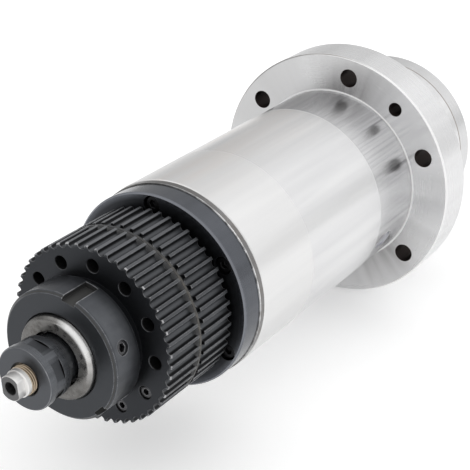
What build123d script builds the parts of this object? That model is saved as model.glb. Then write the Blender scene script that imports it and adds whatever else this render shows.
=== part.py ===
"""Belt-driven machining spindle with a hollow shaft, a tool gripper and a two-row toothed pulley.

Millimetres. The spindle axis is Y and points out of the nose. The origin is on the axis, in the rear
face of the mounting flange, and Z is up. A station is a place along Y. A clock angle is measured
about the axis from +Z towards -X.
"""

import math
import os

from build123d import *

# General clearances
seat_clearance = 0.03
running_clearance = 0.3
slide_clearance = 0.1

# Housing and its flange
flange_diameter = 127.0
flange_thickness = 20.8
flange_chamfer = 0.7
nose_length = 36.7
body_diameter = 90.0
body_length = 136.8
edge_chamfer = 0.5
band_length = 33.5
band_relief = 0.3
bolt_circle_inset = 1.5
bolt_count = 6
bolt_hole_diameter = 9.0
bolt_recess_diameter = 15.0
bolt_recess_depth = 6.0
bolt_clock = -7.7
jack_hole_diameter = 6.8
jack_clock = -38.3
pocket_clocks = (-111.5, 38.5)
pocket_length = 13.0
pocket_width = 8.0
pocket_depth = 1.2
pocket_from_flange = 23.3

# Covers and the ground ring between body and rear cover
front_cover_thickness = 10.2
front_cover_spigot = 3.5
rear_ring_thickness = 3.0
rear_cover_thickness = 10.55
rear_cover_step = 0.8
rear_cover_chamfer = 0.7
cover_screw_count = 6
cover_screw_diameter = 4.0
cover_screw_head_diameter = 7.0
cover_screw_head_height = 4.0
cover_screw_grip = 9.0
screw_end_gap = 1.0
front_recess_diameter = 7.4
front_screw_edge = 4.5
rear_recess_diameter = 8.0
rear_screw_edge = 5.6
rear_screw_sink = 1.0
rear_screw_clock = -117.5

# Ball bearings: outside diameter as a share of the body's, bore as a share of the outside, width
front_bearing_share = 5 / 6
front_bore_share = 3 / 5
front_bearing_width = 16.0
front_spacer_length = 10.0
rear_bearing_share = 34 / 45
rear_bore_share = 10 / 17
rear_bearing_width = 15.0
rear_bearing_recess = 2.8
bearing_count = 2
ring_share = 1 / 3
ring_width_allowance = 0.1
cage_gap = 0.9
cage_length = 10.0
housing_shoulder = 6.5
front_nut_length = 8.0
front_nut_gap = 2.0

# Shaft
shaft_nose_diameter = 56.0
shaft_nose_reach = 7.3
shaft_waist_step = 1.0
pulley_seat_step = 1.0
pulley_seat_lead = 1.0
shaft_thread_step = 1.06
shaft_end_reach = 2.8
shaft_end_round = 2.0
shaft_nose_chamfer = 0.8
taper_gauge_diameter = 31.75
taper_length = 48.4
taper_ratio = 7.0 / 24.0
taper_relief = 0.5
spring_bore = 23.8

# Tool drive keys on the nose
drive_key_width = 15.9
drive_key_standout = 7.5
drive_key_depth = 5.5
drive_key_gap = 0.9
drive_key_screw_diameter = 5.0
drive_key_screw_head_diameter = 8.5
drive_key_screw_length = 14.0

# Pulley
tooth_count = 50
belt_pitch = 5.0
belt_line_offset = 0.57
groove_radius = 1.75
groove_depth = 2.2
front_row_length = 19.0
relief_length = 2.4
land_length = 1.1
rear_row_length = 18.8
run_out_length = 0.8
tooth_edge_round = 0.3
tooth_clock = 0.3
pulley_gap = 2.65
pulley_hub_diameter = 50.0
pulley_hub_length = 4.3
face_hole_circle = 62.6
face_hole_count = 12
face_hole_diameter = 5.7
face_hole_depth = 14.0
face_hole_chamfer = 0.3
face_hole_clock = -4.6
balance_hole_numbers = (7, 8)
balance_screw_length = 6.0
balance_screw_sink = 0.6
pulley_spacer_thickness = 6.0
key_width = 8.0
key_height = 7.0
key_length = 30.0
key_seat_depth = 4.0
key_from_pulley_front = 5.0

# Lock nut behind the pulley
nut_diameter = 55.2
nut_length = 15.2
nut_chamfer = 1.1
nut_countersink = 0.5
nut_slot_count = 3
nut_slot_width = 6.0
nut_slot_depth = 2.3
nut_slot_clock = -14.0
nut_front_rim = 1.4
nut_front_chamfer = 0.4
nut_screw_diameter = 6.0
nut_screw_gap = 1.1
nut_screw_sink = 0.5
nut_screw_clock = -70.9
nut_screw_from_rear = 6.7

# Drawbar, its nut and the disc springs
release_stroke = 4.5
release_room = 0.7
rod_diameter = 10.6
rod_thread = 12.0
rod_thread_step = 1.0
rod_head_diameter = 11.2
rod_head_length = 4.2
rod_groove_diameter = 7.2
air_bore = 3.2
tip_bore = 5.2
tip_bore_depth = 20.0
tip_thread_reach = 2.0
tip_neck_diameter = 11.4
tip_neck_length = 1.9
tip_diameter = 10.4
tip_length = 3.9
tip_flats = 7.8
tip_chamfer = 0.4
tip_flat_clock = -85.0
drawbar_nut_neck_diameter = 21.0
drawbar_nut_neck_length = 13.8
drawbar_nut_rim_diameter = 25.4
drawbar_nut_rim_length = 3.2
drawbar_nut_flats = 24.0
drawbar_nut_flats_length = 5.1
drawbar_nut_flat_clock = -10.0
drawbar_nut_collar_diameter = 26.4
drawbar_nut_collar_length = 3.5
drawbar_nut_edge_round = 0.8
drawbar_nut_countersink = 1.0
spring_outside = 23.0
spring_inside = 12.2
spring_notch = 3.0
spring_pairs = 14
spring_seat_thickness = 3.0

# Gripper fingers
finger_count = 4
finger_arc = 80.0
finger_front_depth = 65.0
finger_length = 32.0
finger_outside = 15.6
finger_wall = 1.85
finger_head_outside = 20.2
finger_head_length = 3.0
finger_slope_length = 4.0
finger_hook_inside = 7.4
finger_hook_length = 2.6
finger_hook_chamfer = 0.8
finger_tail_length = 3.0
finger_tail_play = 0.3
finger_opening = 2.1
gripper_bore = 20.8
chamber_length = 15.0
chamber_cone_length = 4.6

# Stations along the axis
flange_front = flange_thickness
nose_end = flange_front + nose_length
front_cover_end = nose_end + front_cover_thickness
shaft_nose = front_cover_end + shaft_nose_reach
body_rear = -body_length
rear_ring_rear = body_rear - rear_ring_thickness
rear_cover_rear = rear_ring_rear - rear_cover_thickness
pulley_front = rear_cover_rear - pulley_gap
front_row_rear = pulley_front - front_row_length
relief_rear = front_row_rear - relief_length
land_rear = relief_rear - land_length
pulley_rear = land_rear - rear_row_length
hub_rear = pulley_rear - pulley_hub_length
nut_rear = hub_rear - nut_length
shaft_rear = nut_rear - shaft_end_reach

front_bearing_front = nose_end - front_cover_spigot
front_spacer_front = front_bearing_front - front_bearing_width
front_spacer_rear = front_spacer_front - front_spacer_length
front_bearing_rear = front_spacer_rear - front_bearing_width
front_nut_rear = front_bearing_rear - front_nut_length
front_bearing_stations = (front_spacer_front, front_bearing_rear)
rear_bearing_rear = body_rear + rear_bearing_recess
rear_bearing_front = rear_bearing_rear + bearing_count * rear_bearing_width
rear_bearing_stations = [rear_bearing_rear + n * rear_bearing_width for n in range(bearing_count)]

drawbar_nut_front = shaft_rear - release_stroke - release_room
drawbar_nut_flats_front = drawbar_nut_front - drawbar_nut_rim_length
drawbar_nut_collar_front = drawbar_nut_flats_front - drawbar_nut_flats_length
drawbar_nut_rear = drawbar_nut_collar_front - drawbar_nut_collar_length
drawbar_nut_neck_end = drawbar_nut_front + drawbar_nut_neck_length
rod_thread_rear = drawbar_nut_rear - tip_thread_reach
tip_neck_rear = rod_thread_rear - tip_neck_length
drawbar_rear = tip_neck_rear - tip_length

finger_front = shaft_nose - finger_front_depth
finger_rear = finger_front - finger_length
finger_tail_front = finger_rear + finger_tail_length
rod_groove_rear = finger_rear - finger_tail_play
rod_groove_front = finger_tail_front + finger_tail_play
rod_front = rod_groove_front + rod_head_length
gripper_bore_rear = finger_rear - 2 * release_stroke
spring_seat_rear = gripper_bore_rear - spring_seat_thickness
taper_rear = shaft_nose - taper_length
chamber_cone_rear = finger_front - finger_head_length
chamber_rear = chamber_cone_rear + chamber_cone_length
chamber_front = finger_front - finger_head_length + chamber_length

# Diameters that follow the flange and the body
bolt_circle = (flange_diameter + body_diameter) / 2 - bolt_circle_inset
front_screw_circle = body_diameter - 2 * front_screw_edge
rear_screw_circle = body_diameter - 2 * rear_screw_edge
rear_cover_diameter = body_diameter - 2 * rear_cover_step
front_bearing_outside = body_diameter * front_bearing_share
front_bearing_bore = front_bearing_outside * front_bore_share
rear_bearing_outside = body_diameter * rear_bearing_share
rear_bearing_bore = rear_bearing_outside * rear_bore_share
shaft_waist_diameter = front_bearing_bore - 2 * shaft_waist_step
pulley_seat_diameter = rear_bearing_bore - 2 * pulley_seat_step
shaft_thread_diameter = pulley_seat_diameter - 2 * shaft_thread_step

# Radii that several pieces share
body_radius = body_diameter / 2
band_radius = body_radius - band_relief
front_seat_radius = front_bearing_bore / 2 - seat_clearance
rear_seat_radius = rear_bearing_bore / 2 - seat_clearance
front_bore_radius = front_bearing_outside / 2 + seat_clearance
rear_bore_radius = rear_bearing_outside / 2 + seat_clearance
waist_bore_radius = front_bore_radius - housing_shoulder
front_nut_radius = waist_bore_radius - front_nut_gap
pulley_seat_radius = pulley_seat_diameter / 2
shaft_thread_radius = shaft_thread_diameter / 2
shaft_nose_radius = shaft_nose_diameter / 2
pulley_spacer_radius = rear_bearing_bore / 2 + pulley_spacer_thickness
spring_bore_radius = spring_bore / 2
taper_mouth_radius = taper_gauge_diameter / 2
taper_end_radius = (taper_gauge_diameter - taper_length * taper_ratio) / 2
pulley_tip_radius = tooth_count * belt_pitch / math.pi / 2 - belt_line_offset
groove_floor_radius = pulley_tip_radius - groove_depth
finger_head_radius = finger_head_outside / 2
gripper_bore_radius = gripper_bore / 2
chamber_radius = finger_head_radius + finger_opening + running_clearance
rod_radius = rod_diameter / 2
rod_thread_radius = rod_thread / 2

os.makedirs("parts", exist_ok=True)


def across(station):
    """Plane across the axis at a station, with its normal towards the rear."""
    return Plane.XZ.offset(-station)


def facing(clock, radius, station):
    """Plane that faces outward at a clock angle, with its own x along the axis."""
    turn = math.radians(clock)
    outward = (-math.sin(turn), 0, math.cos(turn))
    origin = (radius * outward[0], station, radius * outward[2])
    return Plane(origin=origin, x_dir=(0, 1, 0), z_dir=outward)


def lengthwise(clock):
    """Half plane through the axis at a clock angle, with its own y along the axis."""
    turn = math.radians(clock)
    outward = (-math.sin(turn), 0, math.cos(turn))
    return Plane(origin=(0, 0, 0), x_dir=outward, z_dir=(-math.cos(turn), 0, -math.sin(turn)))


def polar(clock):
    """Angle in a plane across the axis that stands for a clock angle."""
    return 90 + clock


def ring_section(inner, outer, rear, front):
    """Rectangular section of a ring, between two radii and two stations."""
    with BuildSketch(Plane.XY) as section:
        Polygon((inner, rear), (outer, rear), (outer, front), (inner, front), align=None)
    return section.sketch


def keep(piece, name):
    """Name a finished piece and write its file."""
    piece.part.label = name
    export_step(piece.part, f"parts/{name}.step")


# Housing
with BuildPart() as housing:
    with BuildSketch(Plane.XY):
        Polygon(
            (rear_bore_radius, body_rear),
            (body_radius - edge_chamfer, body_rear),
            (body_radius, body_rear + edge_chamfer),
            (body_radius, -band_length),
            (band_radius, -band_length + band_relief),
            (band_radius, flange_front),
            (body_radius, flange_front),
            (body_radius, nose_end),
            (front_bore_radius, nose_end),
            (front_bore_radius, front_bearing_rear),
            (waist_bore_radius, front_bearing_rear),
            (waist_bore_radius, rear_bearing_front),
            (rear_bore_radius, rear_bearing_front),
            align=None,
        )
    revolve(axis=Axis.Y)
    for clock in pocket_clocks:
        with BuildSketch(facing(clock, band_radius - pocket_depth, -pocket_from_flange)):
            SlotOverall(pocket_length, pocket_width)
        extrude(amount=body_radius, mode=Mode.SUBTRACT)
    with BuildSketch(across(nose_end)):
        with PolarLocations(front_screw_circle / 2, cover_screw_count):
            Circle(cover_screw_diameter / 2 + seat_clearance)
    extrude(amount=cover_screw_grip, mode=Mode.SUBTRACT)
    with BuildSketch(across(body_rear)):
        with PolarLocations(rear_screw_circle / 2, cover_screw_count, start_angle=polar(rear_screw_clock)):
            Circle(cover_screw_diameter / 2 + seat_clearance)
    extrude(amount=-cover_screw_grip, mode=Mode.SUBTRACT)
keep(housing, "housing")

# Flange, shrunk on the housing up to the shoulder of the nose
flange_radius = flange_diameter / 2

with BuildPart() as mounting_flange:
    with BuildSketch(Plane.XY):
        Polygon(
            (band_radius + seat_clearance, 0),
            (flange_radius - flange_chamfer, 0),
            (flange_radius, flange_chamfer),
            (flange_radius, flange_front - flange_chamfer),
            (flange_radius - flange_chamfer, flange_front),
            (band_radius + seat_clearance, flange_front),
            align=None,
        )
    revolve(axis=Axis.Y)
    with BuildSketch(across(flange_front)):
        with PolarLocations(bolt_circle / 2, bolt_count, start_angle=polar(bolt_clock)):
            Circle(bolt_hole_diameter / 2)
        with PolarLocations(bolt_circle / 2, 2, start_angle=polar(jack_clock)):
            Circle(jack_hole_diameter / 2)
    extrude(amount=flange_thickness, mode=Mode.SUBTRACT)
    with BuildSketch(across(flange_front)):
        with PolarLocations(bolt_circle / 2, bolt_count, start_angle=polar(bolt_clock)):
            Circle(bolt_recess_diameter / 2)
    extrude(amount=bolt_recess_depth, mode=Mode.SUBTRACT)
keep(mounting_flange, "mounting_flange")

# Front cover and its screws
with BuildPart() as front_cover:
    with BuildSketch(Plane.XY):
        Polygon(
            (shaft_nose_radius + running_clearance, front_bearing_front),
            (front_bore_radius - 2 * seat_clearance, front_bearing_front),
            (front_bore_radius - 2 * seat_clearance, nose_end),
            (body_radius, nose_end),
            (body_radius, front_cover_end - edge_chamfer),
            (body_radius - edge_chamfer, front_cover_end),
            (shaft_nose_radius + running_clearance, front_cover_end),
            align=None,
        )
    revolve(axis=Axis.Y)
    with BuildSketch(across(front_cover_end)):
        with PolarLocations(front_screw_circle / 2, cover_screw_count):
            Circle(cover_screw_diameter / 2 + slide_clearance)
    extrude(amount=front_cover_thickness, mode=Mode.SUBTRACT)
    with BuildSketch(across(front_cover_end)):
        with PolarLocations(front_screw_circle / 2, cover_screw_count):
            Circle(front_recess_diameter / 2)
    extrude(amount=cover_screw_head_height, mode=Mode.SUBTRACT)
keep(front_cover, "front_cover")

with BuildPart() as front_cover_screws:
    with BuildSketch(across(front_cover_end)):
        with PolarLocations(front_screw_circle / 2, cover_screw_count):
            Circle(cover_screw_head_diameter / 2)
    extrude(amount=cover_screw_head_height)
    with BuildSketch(across(front_cover_end - cover_screw_head_height)):
        with PolarLocations(front_screw_circle / 2, cover_screw_count):
            Circle(cover_screw_diameter / 2)
    extrude(amount=front_cover_thickness - cover_screw_head_height + cover_screw_grip - screw_end_gap)
keep(front_cover_screws, "front_cover_screws")

# Ground ring between the body and the rear cover
rear_ring_bore_radius = rear_bore_radius + slide_clearance

with BuildPart() as rear_ring:
    revolve(ring_section(rear_ring_bore_radius, band_radius, rear_ring_rear, body_rear), axis=Axis.Y)
    with BuildSketch(across(body_rear)):
        with PolarLocations(rear_screw_circle / 2, cover_screw_count, start_angle=polar(rear_screw_clock)):
            Circle(cover_screw_diameter / 2 + slide_clearance)
    extrude(amount=rear_ring_thickness, mode=Mode.SUBTRACT)
keep(rear_ring, "rear_ring")

# Rear cover, with a spigot that holds the rear outer rings, and its screws
rear_cover_bore_radius = pulley_spacer_radius + running_clearance
rear_cover_radius = rear_cover_diameter / 2
rear_spigot_radius = rear_bore_radius - 2 * seat_clearance

with BuildPart() as rear_cover:
    with BuildSketch(Plane.XY):
        Polygon(
            (rear_cover_bore_radius, rear_cover_rear),
            (rear_cover_radius - rear_cover_chamfer, rear_cover_rear),
            (rear_cover_radius, rear_cover_rear + rear_cover_chamfer),
            (rear_cover_radius, rear_ring_rear),
            (rear_spigot_radius, rear_ring_rear),
            (rear_spigot_radius, rear_bearing_rear),
            (rear_cover_bore_radius, rear_bearing_rear),
            align=None,
        )
    revolve(axis=Axis.Y)
    with BuildSketch(across(rear_ring_rear)):
        with PolarLocations(rear_screw_circle / 2, cover_screw_count, start_angle=polar(rear_screw_clock)):
            Circle(cover_screw_diameter / 2 + slide_clearance)
    extrude(amount=rear_cover_thickness, mode=Mode.SUBTRACT)
    with BuildSketch(across(rear_cover_rear)):
        with PolarLocations(rear_screw_circle / 2, cover_screw_count, start_angle=polar(rear_screw_clock)):
            Circle(rear_recess_diameter / 2)
    extrude(amount=-(rear_screw_sink + cover_screw_head_height), mode=Mode.SUBTRACT)
keep(rear_cover, "rear_cover")

rear_screw_top = rear_cover_rear + rear_screw_sink
rear_screw_shank = body_rear - rear_screw_top - cover_screw_head_height

with BuildPart() as rear_cover_screws:
    with BuildSketch(across(rear_screw_top)):
        with PolarLocations(rear_screw_circle / 2, cover_screw_count, start_angle=polar(rear_screw_clock)):
            Circle(cover_screw_head_diameter / 2)
    extrude(amount=-cover_screw_head_height)
    with BuildSketch(across(rear_screw_top + cover_screw_head_height)):
        with PolarLocations(rear_screw_circle / 2, cover_screw_count, start_angle=polar(rear_screw_clock)):
            Circle(cover_screw_diameter / 2)
    extrude(amount=-(rear_screw_shank + cover_screw_grip - screw_end_gap))
keep(rear_cover_screws, "rear_cover_screws")


# Ball bearings: each cage ring stands for the cage and its balls
def bearing_rings(kind, bore, outside, width, stations):
    """Write the inner rings, outer rings and cages of bearings that start at the given stations."""
    ring_thickness = ring_share * (outside - bore) / 2
    inner_ring_outside = bore / 2 + ring_thickness
    outer_ring_inside = outside / 2 - ring_thickness
    ring_width = width - ring_width_allowance
    cage_margin = (width - cage_length) / 2
    with BuildPart() as inner_rings:
        for station in stations:
            revolve(ring_section(bore / 2, inner_ring_outside, station, station + ring_width), axis=Axis.Y)
    keep(inner_rings, f"{kind}_inner_rings")
    with BuildPart() as outer_rings:
        for station in stations:
            revolve(ring_section(outer_ring_inside, outside / 2, station, station + ring_width), axis=Axis.Y)
    keep(outer_rings, f"{kind}_outer_rings")
    with BuildPart() as cages:
        for station in stations:
            section = ring_section(
                inner_ring_outside + cage_gap,
                outer_ring_inside - cage_gap,
                station + cage_margin,
                station + width - cage_margin,
            )
            revolve(section, axis=Axis.Y)
    keep(cages, f"{kind}_cages")


bearing_rings(
    "front", front_bearing_bore, front_bearing_outside, front_bearing_width, front_bearing_stations
)
bearing_rings("rear", rear_bearing_bore, rear_bearing_outside, rear_bearing_width, rear_bearing_stations)

front_spacer_thickness = ring_share * (front_bearing_outside - front_bearing_bore) / 2

with BuildPart() as front_inner_spacer:
    spacer_outside = front_bearing_bore / 2 + front_spacer_thickness
    section = ring_section(front_bearing_bore / 2, spacer_outside, front_spacer_rear, front_spacer_front)
    revolve(section, axis=Axis.Y)
keep(front_inner_spacer, "front_inner_spacer")

with BuildPart() as front_outer_spacer:
    spacer_inside = front_bearing_outside / 2 - front_spacer_thickness
    section = ring_section(spacer_inside, front_bearing_outside / 2, front_spacer_rear, front_spacer_front)
    revolve(section, axis=Axis.Y)
keep(front_outer_spacer, "front_outer_spacer")

with BuildPart() as front_lock_nut:
    section = ring_section(front_bearing_bore / 2, front_nut_radius, front_nut_rear, front_bearing_rear)
    revolve(section, axis=Axis.Y)
keep(front_lock_nut, "front_lock_nut")

# Shaft
key_rear = pulley_front - key_from_pulley_front - key_length
key_middle = key_rear + key_length / 2
key_floor_radius = pulley_seat_radius - key_seat_depth

with BuildPart() as spindle_shaft:
    with BuildSketch(Plane.XY):
        with BuildLine():
            rear_round = Polyline(
                (spring_bore_radius, shaft_rear),
                (shaft_thread_radius - shaft_end_round, shaft_rear),
            )
            RadiusArc(
                rear_round @ 1,
                (shaft_thread_radius, shaft_rear + shaft_end_round),
                -shaft_end_round,
            )
            Polyline(
                (shaft_thread_radius, shaft_rear + shaft_end_round),
                (shaft_thread_radius, hub_rear),
                (pulley_seat_radius, hub_rear),
                (pulley_seat_radius, pulley_front + pulley_seat_lead),
                (rear_seat_radius, pulley_front + pulley_seat_lead),
                (rear_seat_radius, rear_bearing_front),
                (shaft_waist_diameter / 2, rear_bearing_front),
                (shaft_waist_diameter / 2, front_nut_rear),
                (front_seat_radius, front_nut_rear),
                (front_seat_radius, front_bearing_front),
                (shaft_nose_radius, front_bearing_front),
                (shaft_nose_radius, shaft_nose - shaft_nose_chamfer),
                (shaft_nose_radius - shaft_nose_chamfer, shaft_nose),
                (taper_mouth_radius, shaft_nose),
                (taper_end_radius, taper_rear),
                (taper_end_radius + taper_relief, taper_rear),
                (taper_end_radius + taper_relief, chamber_front),
                (chamber_radius, chamber_front),
                (chamber_radius, chamber_rear),
                (gripper_bore_radius, chamber_cone_rear),
                (gripper_bore_radius, gripper_bore_rear),
                (spring_bore_radius, gripper_bore_rear),
                (spring_bore_radius, shaft_rear),
            )
        make_face()
    revolve(axis=Axis.Y)
    with BuildSketch(across(shaft_nose)):
        Rectangle(drive_key_width + 2 * seat_clearance, shaft_nose_diameter)
    extrude(amount=drive_key_depth, mode=Mode.SUBTRACT)
    with BuildSketch(across(shaft_nose - drive_key_depth)):
        with PolarLocations((taper_mouth_radius + shaft_nose_radius) / 2, 2, start_angle=90):
            Circle(drive_key_screw_diameter / 2 + seat_clearance)
    extrude(amount=drive_key_screw_length, mode=Mode.SUBTRACT)
    with BuildSketch(facing(0, key_floor_radius, key_middle)):
        SlotOverall(key_length, key_width)
    extrude(amount=pulley_seat_radius, mode=Mode.SUBTRACT)
keep(spindle_shaft, "spindle_shaft")

# Tool drive keys and their screws
drive_key_inside = taper_mouth_radius + drive_key_gap

with BuildPart() as drive_keys:
    with BuildSketch(across(shaft_nose + drive_key_standout)):
        Circle(shaft_nose_radius - slide_clearance)
        Rectangle(drive_key_width, shaft_nose_diameter, mode=Mode.INTERSECT)
        Circle(drive_key_inside, mode=Mode.SUBTRACT)
    extrude(amount=drive_key_standout + drive_key_depth)
    with BuildSketch(across(shaft_nose + drive_key_standout)):
        with PolarLocations((taper_mouth_radius + shaft_nose_radius) / 2, 2, start_angle=90):
            Circle(drive_key_screw_diameter / 2 + slide_clearance)
    extrude(amount=drive_key_standout + drive_key_depth, mode=Mode.SUBTRACT)
    with BuildSketch(across(shaft_nose + drive_key_standout)):
        with PolarLocations((taper_mouth_radius + shaft_nose_radius) / 2, 2, start_angle=90):
            Circle(drive_key_screw_head_diameter / 2 + slide_clearance)
    extrude(amount=drive_key_screw_diameter, mode=Mode.SUBTRACT)
keep(drive_keys, "drive_keys")

drive_key_shank = drive_key_standout + drive_key_depth - drive_key_screw_diameter

with BuildPart() as drive_key_screws:
    with BuildSketch(across(shaft_nose + drive_key_standout)):
        with PolarLocations((taper_mouth_radius + shaft_nose_radius) / 2, 2, start_angle=90):
            Circle(drive_key_screw_head_diameter / 2)
    extrude(amount=drive_key_screw_diameter)
    with BuildSketch(across(shaft_nose + drive_key_standout - drive_key_screw_diameter)):
        with PolarLocations((taper_mouth_radius + shaft_nose_radius) / 2, 2, start_angle=90):
            Circle(drive_key_screw_diameter / 2)
    extrude(amount=drive_key_shank + drive_key_screw_length - screw_end_gap)
keep(drive_key_screws, "drive_key_screws")

# Sleeve that carries the clamping force from the pulley to the rear inner rings
with BuildPart() as pulley_spacer:
    section = ring_section(rear_bearing_bore / 2, pulley_spacer_radius, pulley_front, rear_bearing_rear)
    revolve(section, axis=Axis.Y)
keep(pulley_spacer, "pulley_spacer")

# Pulley: both rows share one toothed outline, and the rear row's grooves rise to the land
groove_centre_radius = groove_floor_radius + groove_radius
groove_clock = tooth_clock + 180 / tooth_count
face_hole_start = polar(face_hole_clock)

with BuildSketch(Plane.XY) as toothed_outline:
    Circle(pulley_tip_radius)
    with PolarLocations(groove_centre_radius, tooth_count, start_angle=polar(groove_clock)):
        Circle(groove_radius, mode=Mode.SUBTRACT)
        Rectangle(groove_radius, 2 * groove_radius, align=(Align.MIN, Align.CENTER), mode=Mode.SUBTRACT)
    tooth_corners = toothed_outline.vertices().filter_by(
        lambda corner: corner.center().length > (groove_centre_radius + pulley_tip_radius) / 2
    )
    fillet(tooth_corners, tooth_edge_round)

with BuildPart() as drive_pulley:
    with BuildSketch(across(pulley_front)):
        add(toothed_outline.sketch)
    extrude(amount=front_row_length)
    with BuildSketch(across(land_rear)):
        add(toothed_outline.sketch)
    extrude(amount=rear_row_length)
    with BuildSketch(Plane.XY):
        Polygon(
            (0, pulley_rear),
            (groove_floor_radius, land_rear - run_out_length),
            (pulley_tip_radius, land_rear),
            (pulley_tip_radius, relief_rear),
            (groove_floor_radius, relief_rear),
            (groove_floor_radius, front_row_rear),
            (0, front_row_rear),
            align=None,
        )
    revolve(axis=Axis.Y)
    revolve(ring_section(0, pulley_hub_diameter / 2, hub_rear, pulley_rear), axis=Axis.Y)
    bore_section = ring_section(0, pulley_seat_radius + seat_clearance, hub_rear, pulley_front)
    revolve(bore_section, axis=Axis.Y, mode=Mode.SUBTRACT)
    with BuildSketch(across(pulley_rear)):
        with PolarLocations(face_hole_circle / 2, face_hole_count, start_angle=face_hole_start):
            Circle(face_hole_diameter / 2)
    extrude(amount=-face_hole_depth, mode=Mode.SUBTRACT)
    with Locations(across(pulley_rear)):
        with PolarLocations(face_hole_circle / 2, face_hole_count, start_angle=face_hole_start):
            Cone(
                face_hole_diameter / 2,
                face_hole_diameter / 2 + face_hole_chamfer,
                face_hole_chamfer,
                align=(Align.CENTER, Align.CENTER, Align.MAX),
                mode=Mode.SUBTRACT,
            )
    with BuildSketch(across(pulley_front)):
        with Locations((0, key_floor_radius + key_height + slide_clearance)):
            Rectangle(key_width + 2 * seat_clearance, key_height, align=(Align.CENTER, Align.MAX))
    extrude(amount=pulley_front - hub_rear, mode=Mode.SUBTRACT)
keep(drive_pulley, "drive_pulley")

with BuildPart() as pulley_key:
    with BuildSketch(facing(0, key_floor_radius, key_middle)):
        SlotOverall(key_length - 2 * seat_clearance, key_width - 2 * seat_clearance)
    extrude(amount=key_height)
keep(pulley_key, "pulley_key")

with BuildPart() as balance_screws:
    for number in balance_hole_numbers:
        clock = face_hole_clock + number * 360 / face_hole_count
        with BuildSketch(across(pulley_rear + balance_screw_sink)):
            with PolarLocations(face_hole_circle / 2, 1, start_angle=polar(clock)):
                Circle(face_hole_diameter / 2 - seat_clearance)
        extrude(amount=-balance_screw_length)
keep(balance_screws, "balance_screws")

# Lock nut behind the pulley
nut_radius = nut_diameter / 2
nut_bore_radius = shaft_thread_radius + seat_clearance
nut_slot_front = hub_rear - nut_front_rim
nut_screw_station = nut_rear + nut_screw_from_rear
nut_screw_length = nut_radius - nut_screw_sink - nut_bore_radius - nut_screw_gap

with BuildPart() as rear_lock_nut:
    with BuildSketch(Plane.XY):
        Polygon(
            (nut_bore_radius, hub_rear),
            (nut_radius - nut_front_chamfer, hub_rear),
            (nut_radius, hub_rear - nut_front_chamfer),
            (nut_radius, nut_rear + nut_chamfer),
            (nut_radius - nut_chamfer, nut_rear),
            (nut_bore_radius + nut_countersink, nut_rear),
            (nut_bore_radius, nut_rear + nut_countersink),
            align=None,
        )
    revolve(axis=Axis.Y)
    for number in range(nut_slot_count):
        clock = nut_slot_clock + number * 360 / nut_slot_count
        with BuildSketch(facing(clock, nut_radius - nut_slot_depth, nut_rear)):
            Rectangle(nut_slot_front - nut_rear, nut_slot_width, align=(Align.MIN, Align.CENTER))
        extrude(amount=2 * nut_slot_depth, mode=Mode.SUBTRACT)
        screw_clock = nut_screw_clock + number * 360 / nut_slot_count
        with BuildSketch(facing(screw_clock, nut_bore_radius, nut_screw_station)):
            Circle(nut_screw_diameter / 2)
        extrude(amount=nut_radius, mode=Mode.SUBTRACT)
keep(rear_lock_nut, "rear_lock_nut")

with BuildPart() as lock_nut_screws:
    for number in range(nut_slot_count):
        screw_clock = nut_screw_clock + number * 360 / nut_slot_count
        with BuildSketch(facing(screw_clock, nut_bore_radius + nut_screw_gap, nut_screw_station)):
            Circle(nut_screw_diameter / 2 - seat_clearance)
        extrude(amount=nut_screw_length)
keep(lock_nut_screws, "lock_nut_screws")

# Spring seat and disc springs
with BuildPart() as spring_seat:
    section = ring_section(
        rod_radius + slide_clearance,
        spring_bore_radius - slide_clearance,
        spring_seat_rear,
        gripper_bore_rear,
    )
    revolve(section, axis=Axis.Y)
keep(spring_seat, "spring_seat")

spring_pitch = (spring_seat_rear - drawbar_nut_neck_end) / spring_pairs
spring_rim_points = []
for number in range(spring_pairs):
    rim_front = spring_seat_rear - number * spring_pitch
    spring_rim_points.append((spring_outside / 2 - spring_notch, rim_front))
    spring_rim_points.append((spring_outside / 2, rim_front - spring_pitch / 2))
spring_rim_points.append((spring_outside / 2 - spring_notch, drawbar_nut_neck_end))

with BuildPart() as disc_springs:
    with BuildSketch(Plane.XY):
        Polygon(
            *spring_rim_points,
            (spring_inside / 2, drawbar_nut_neck_end),
            (spring_inside / 2, spring_seat_rear),
            align=None,
        )
    revolve(axis=Axis.Y)
keep(disc_springs, "disc_springs")

# Drawbar: head and groove for the fingers, rod, thread, neck and tip
tip_bore_front = drawbar_rear + tip_bore_depth

with BuildPart() as drawbar:
    with BuildSketch(Plane.XY):
        Polygon(
            (tip_bore / 2, drawbar_rear),
            (tip_diameter / 2 - tip_chamfer, drawbar_rear),
            (tip_diameter / 2, drawbar_rear + tip_chamfer),
            (tip_diameter / 2, tip_neck_rear),
            (tip_neck_diameter / 2, tip_neck_rear),
            (tip_neck_diameter / 2, rod_thread_rear),
            (rod_thread_radius, rod_thread_rear),
            (rod_thread_radius, drawbar_nut_neck_end - rod_thread_step),
            (rod_radius, drawbar_nut_neck_end - rod_thread_step),
            (rod_radius, rod_groove_rear),
            (rod_groove_diameter / 2, rod_groove_rear),
            (rod_groove_diameter / 2, rod_groove_front),
            (rod_head_diameter / 2, rod_groove_front),
            (rod_head_diameter / 2, rod_front),
            (air_bore / 2, rod_front),
            (air_bore / 2, tip_bore_front),
            (tip_bore / 2, tip_bore_front),
            align=None,
        )
    revolve(axis=Axis.Y)
    for side in (0, 180):
        with BuildSketch(facing(tip_flat_clock + side, tip_flats / 2, drawbar_rear)):
            Rectangle(tip_length, tip_diameter, align=(Align.MIN, Align.CENTER))
        extrude(amount=tip_diameter, mode=Mode.SUBTRACT)
keep(drawbar, "drawbar")

# Drawbar nut: neck inside the shaft, front rim, six flats, round collar
collar_radius = drawbar_nut_collar_diameter / 2
drawbar_nut_bore_radius = rod_thread_radius + seat_clearance

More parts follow.
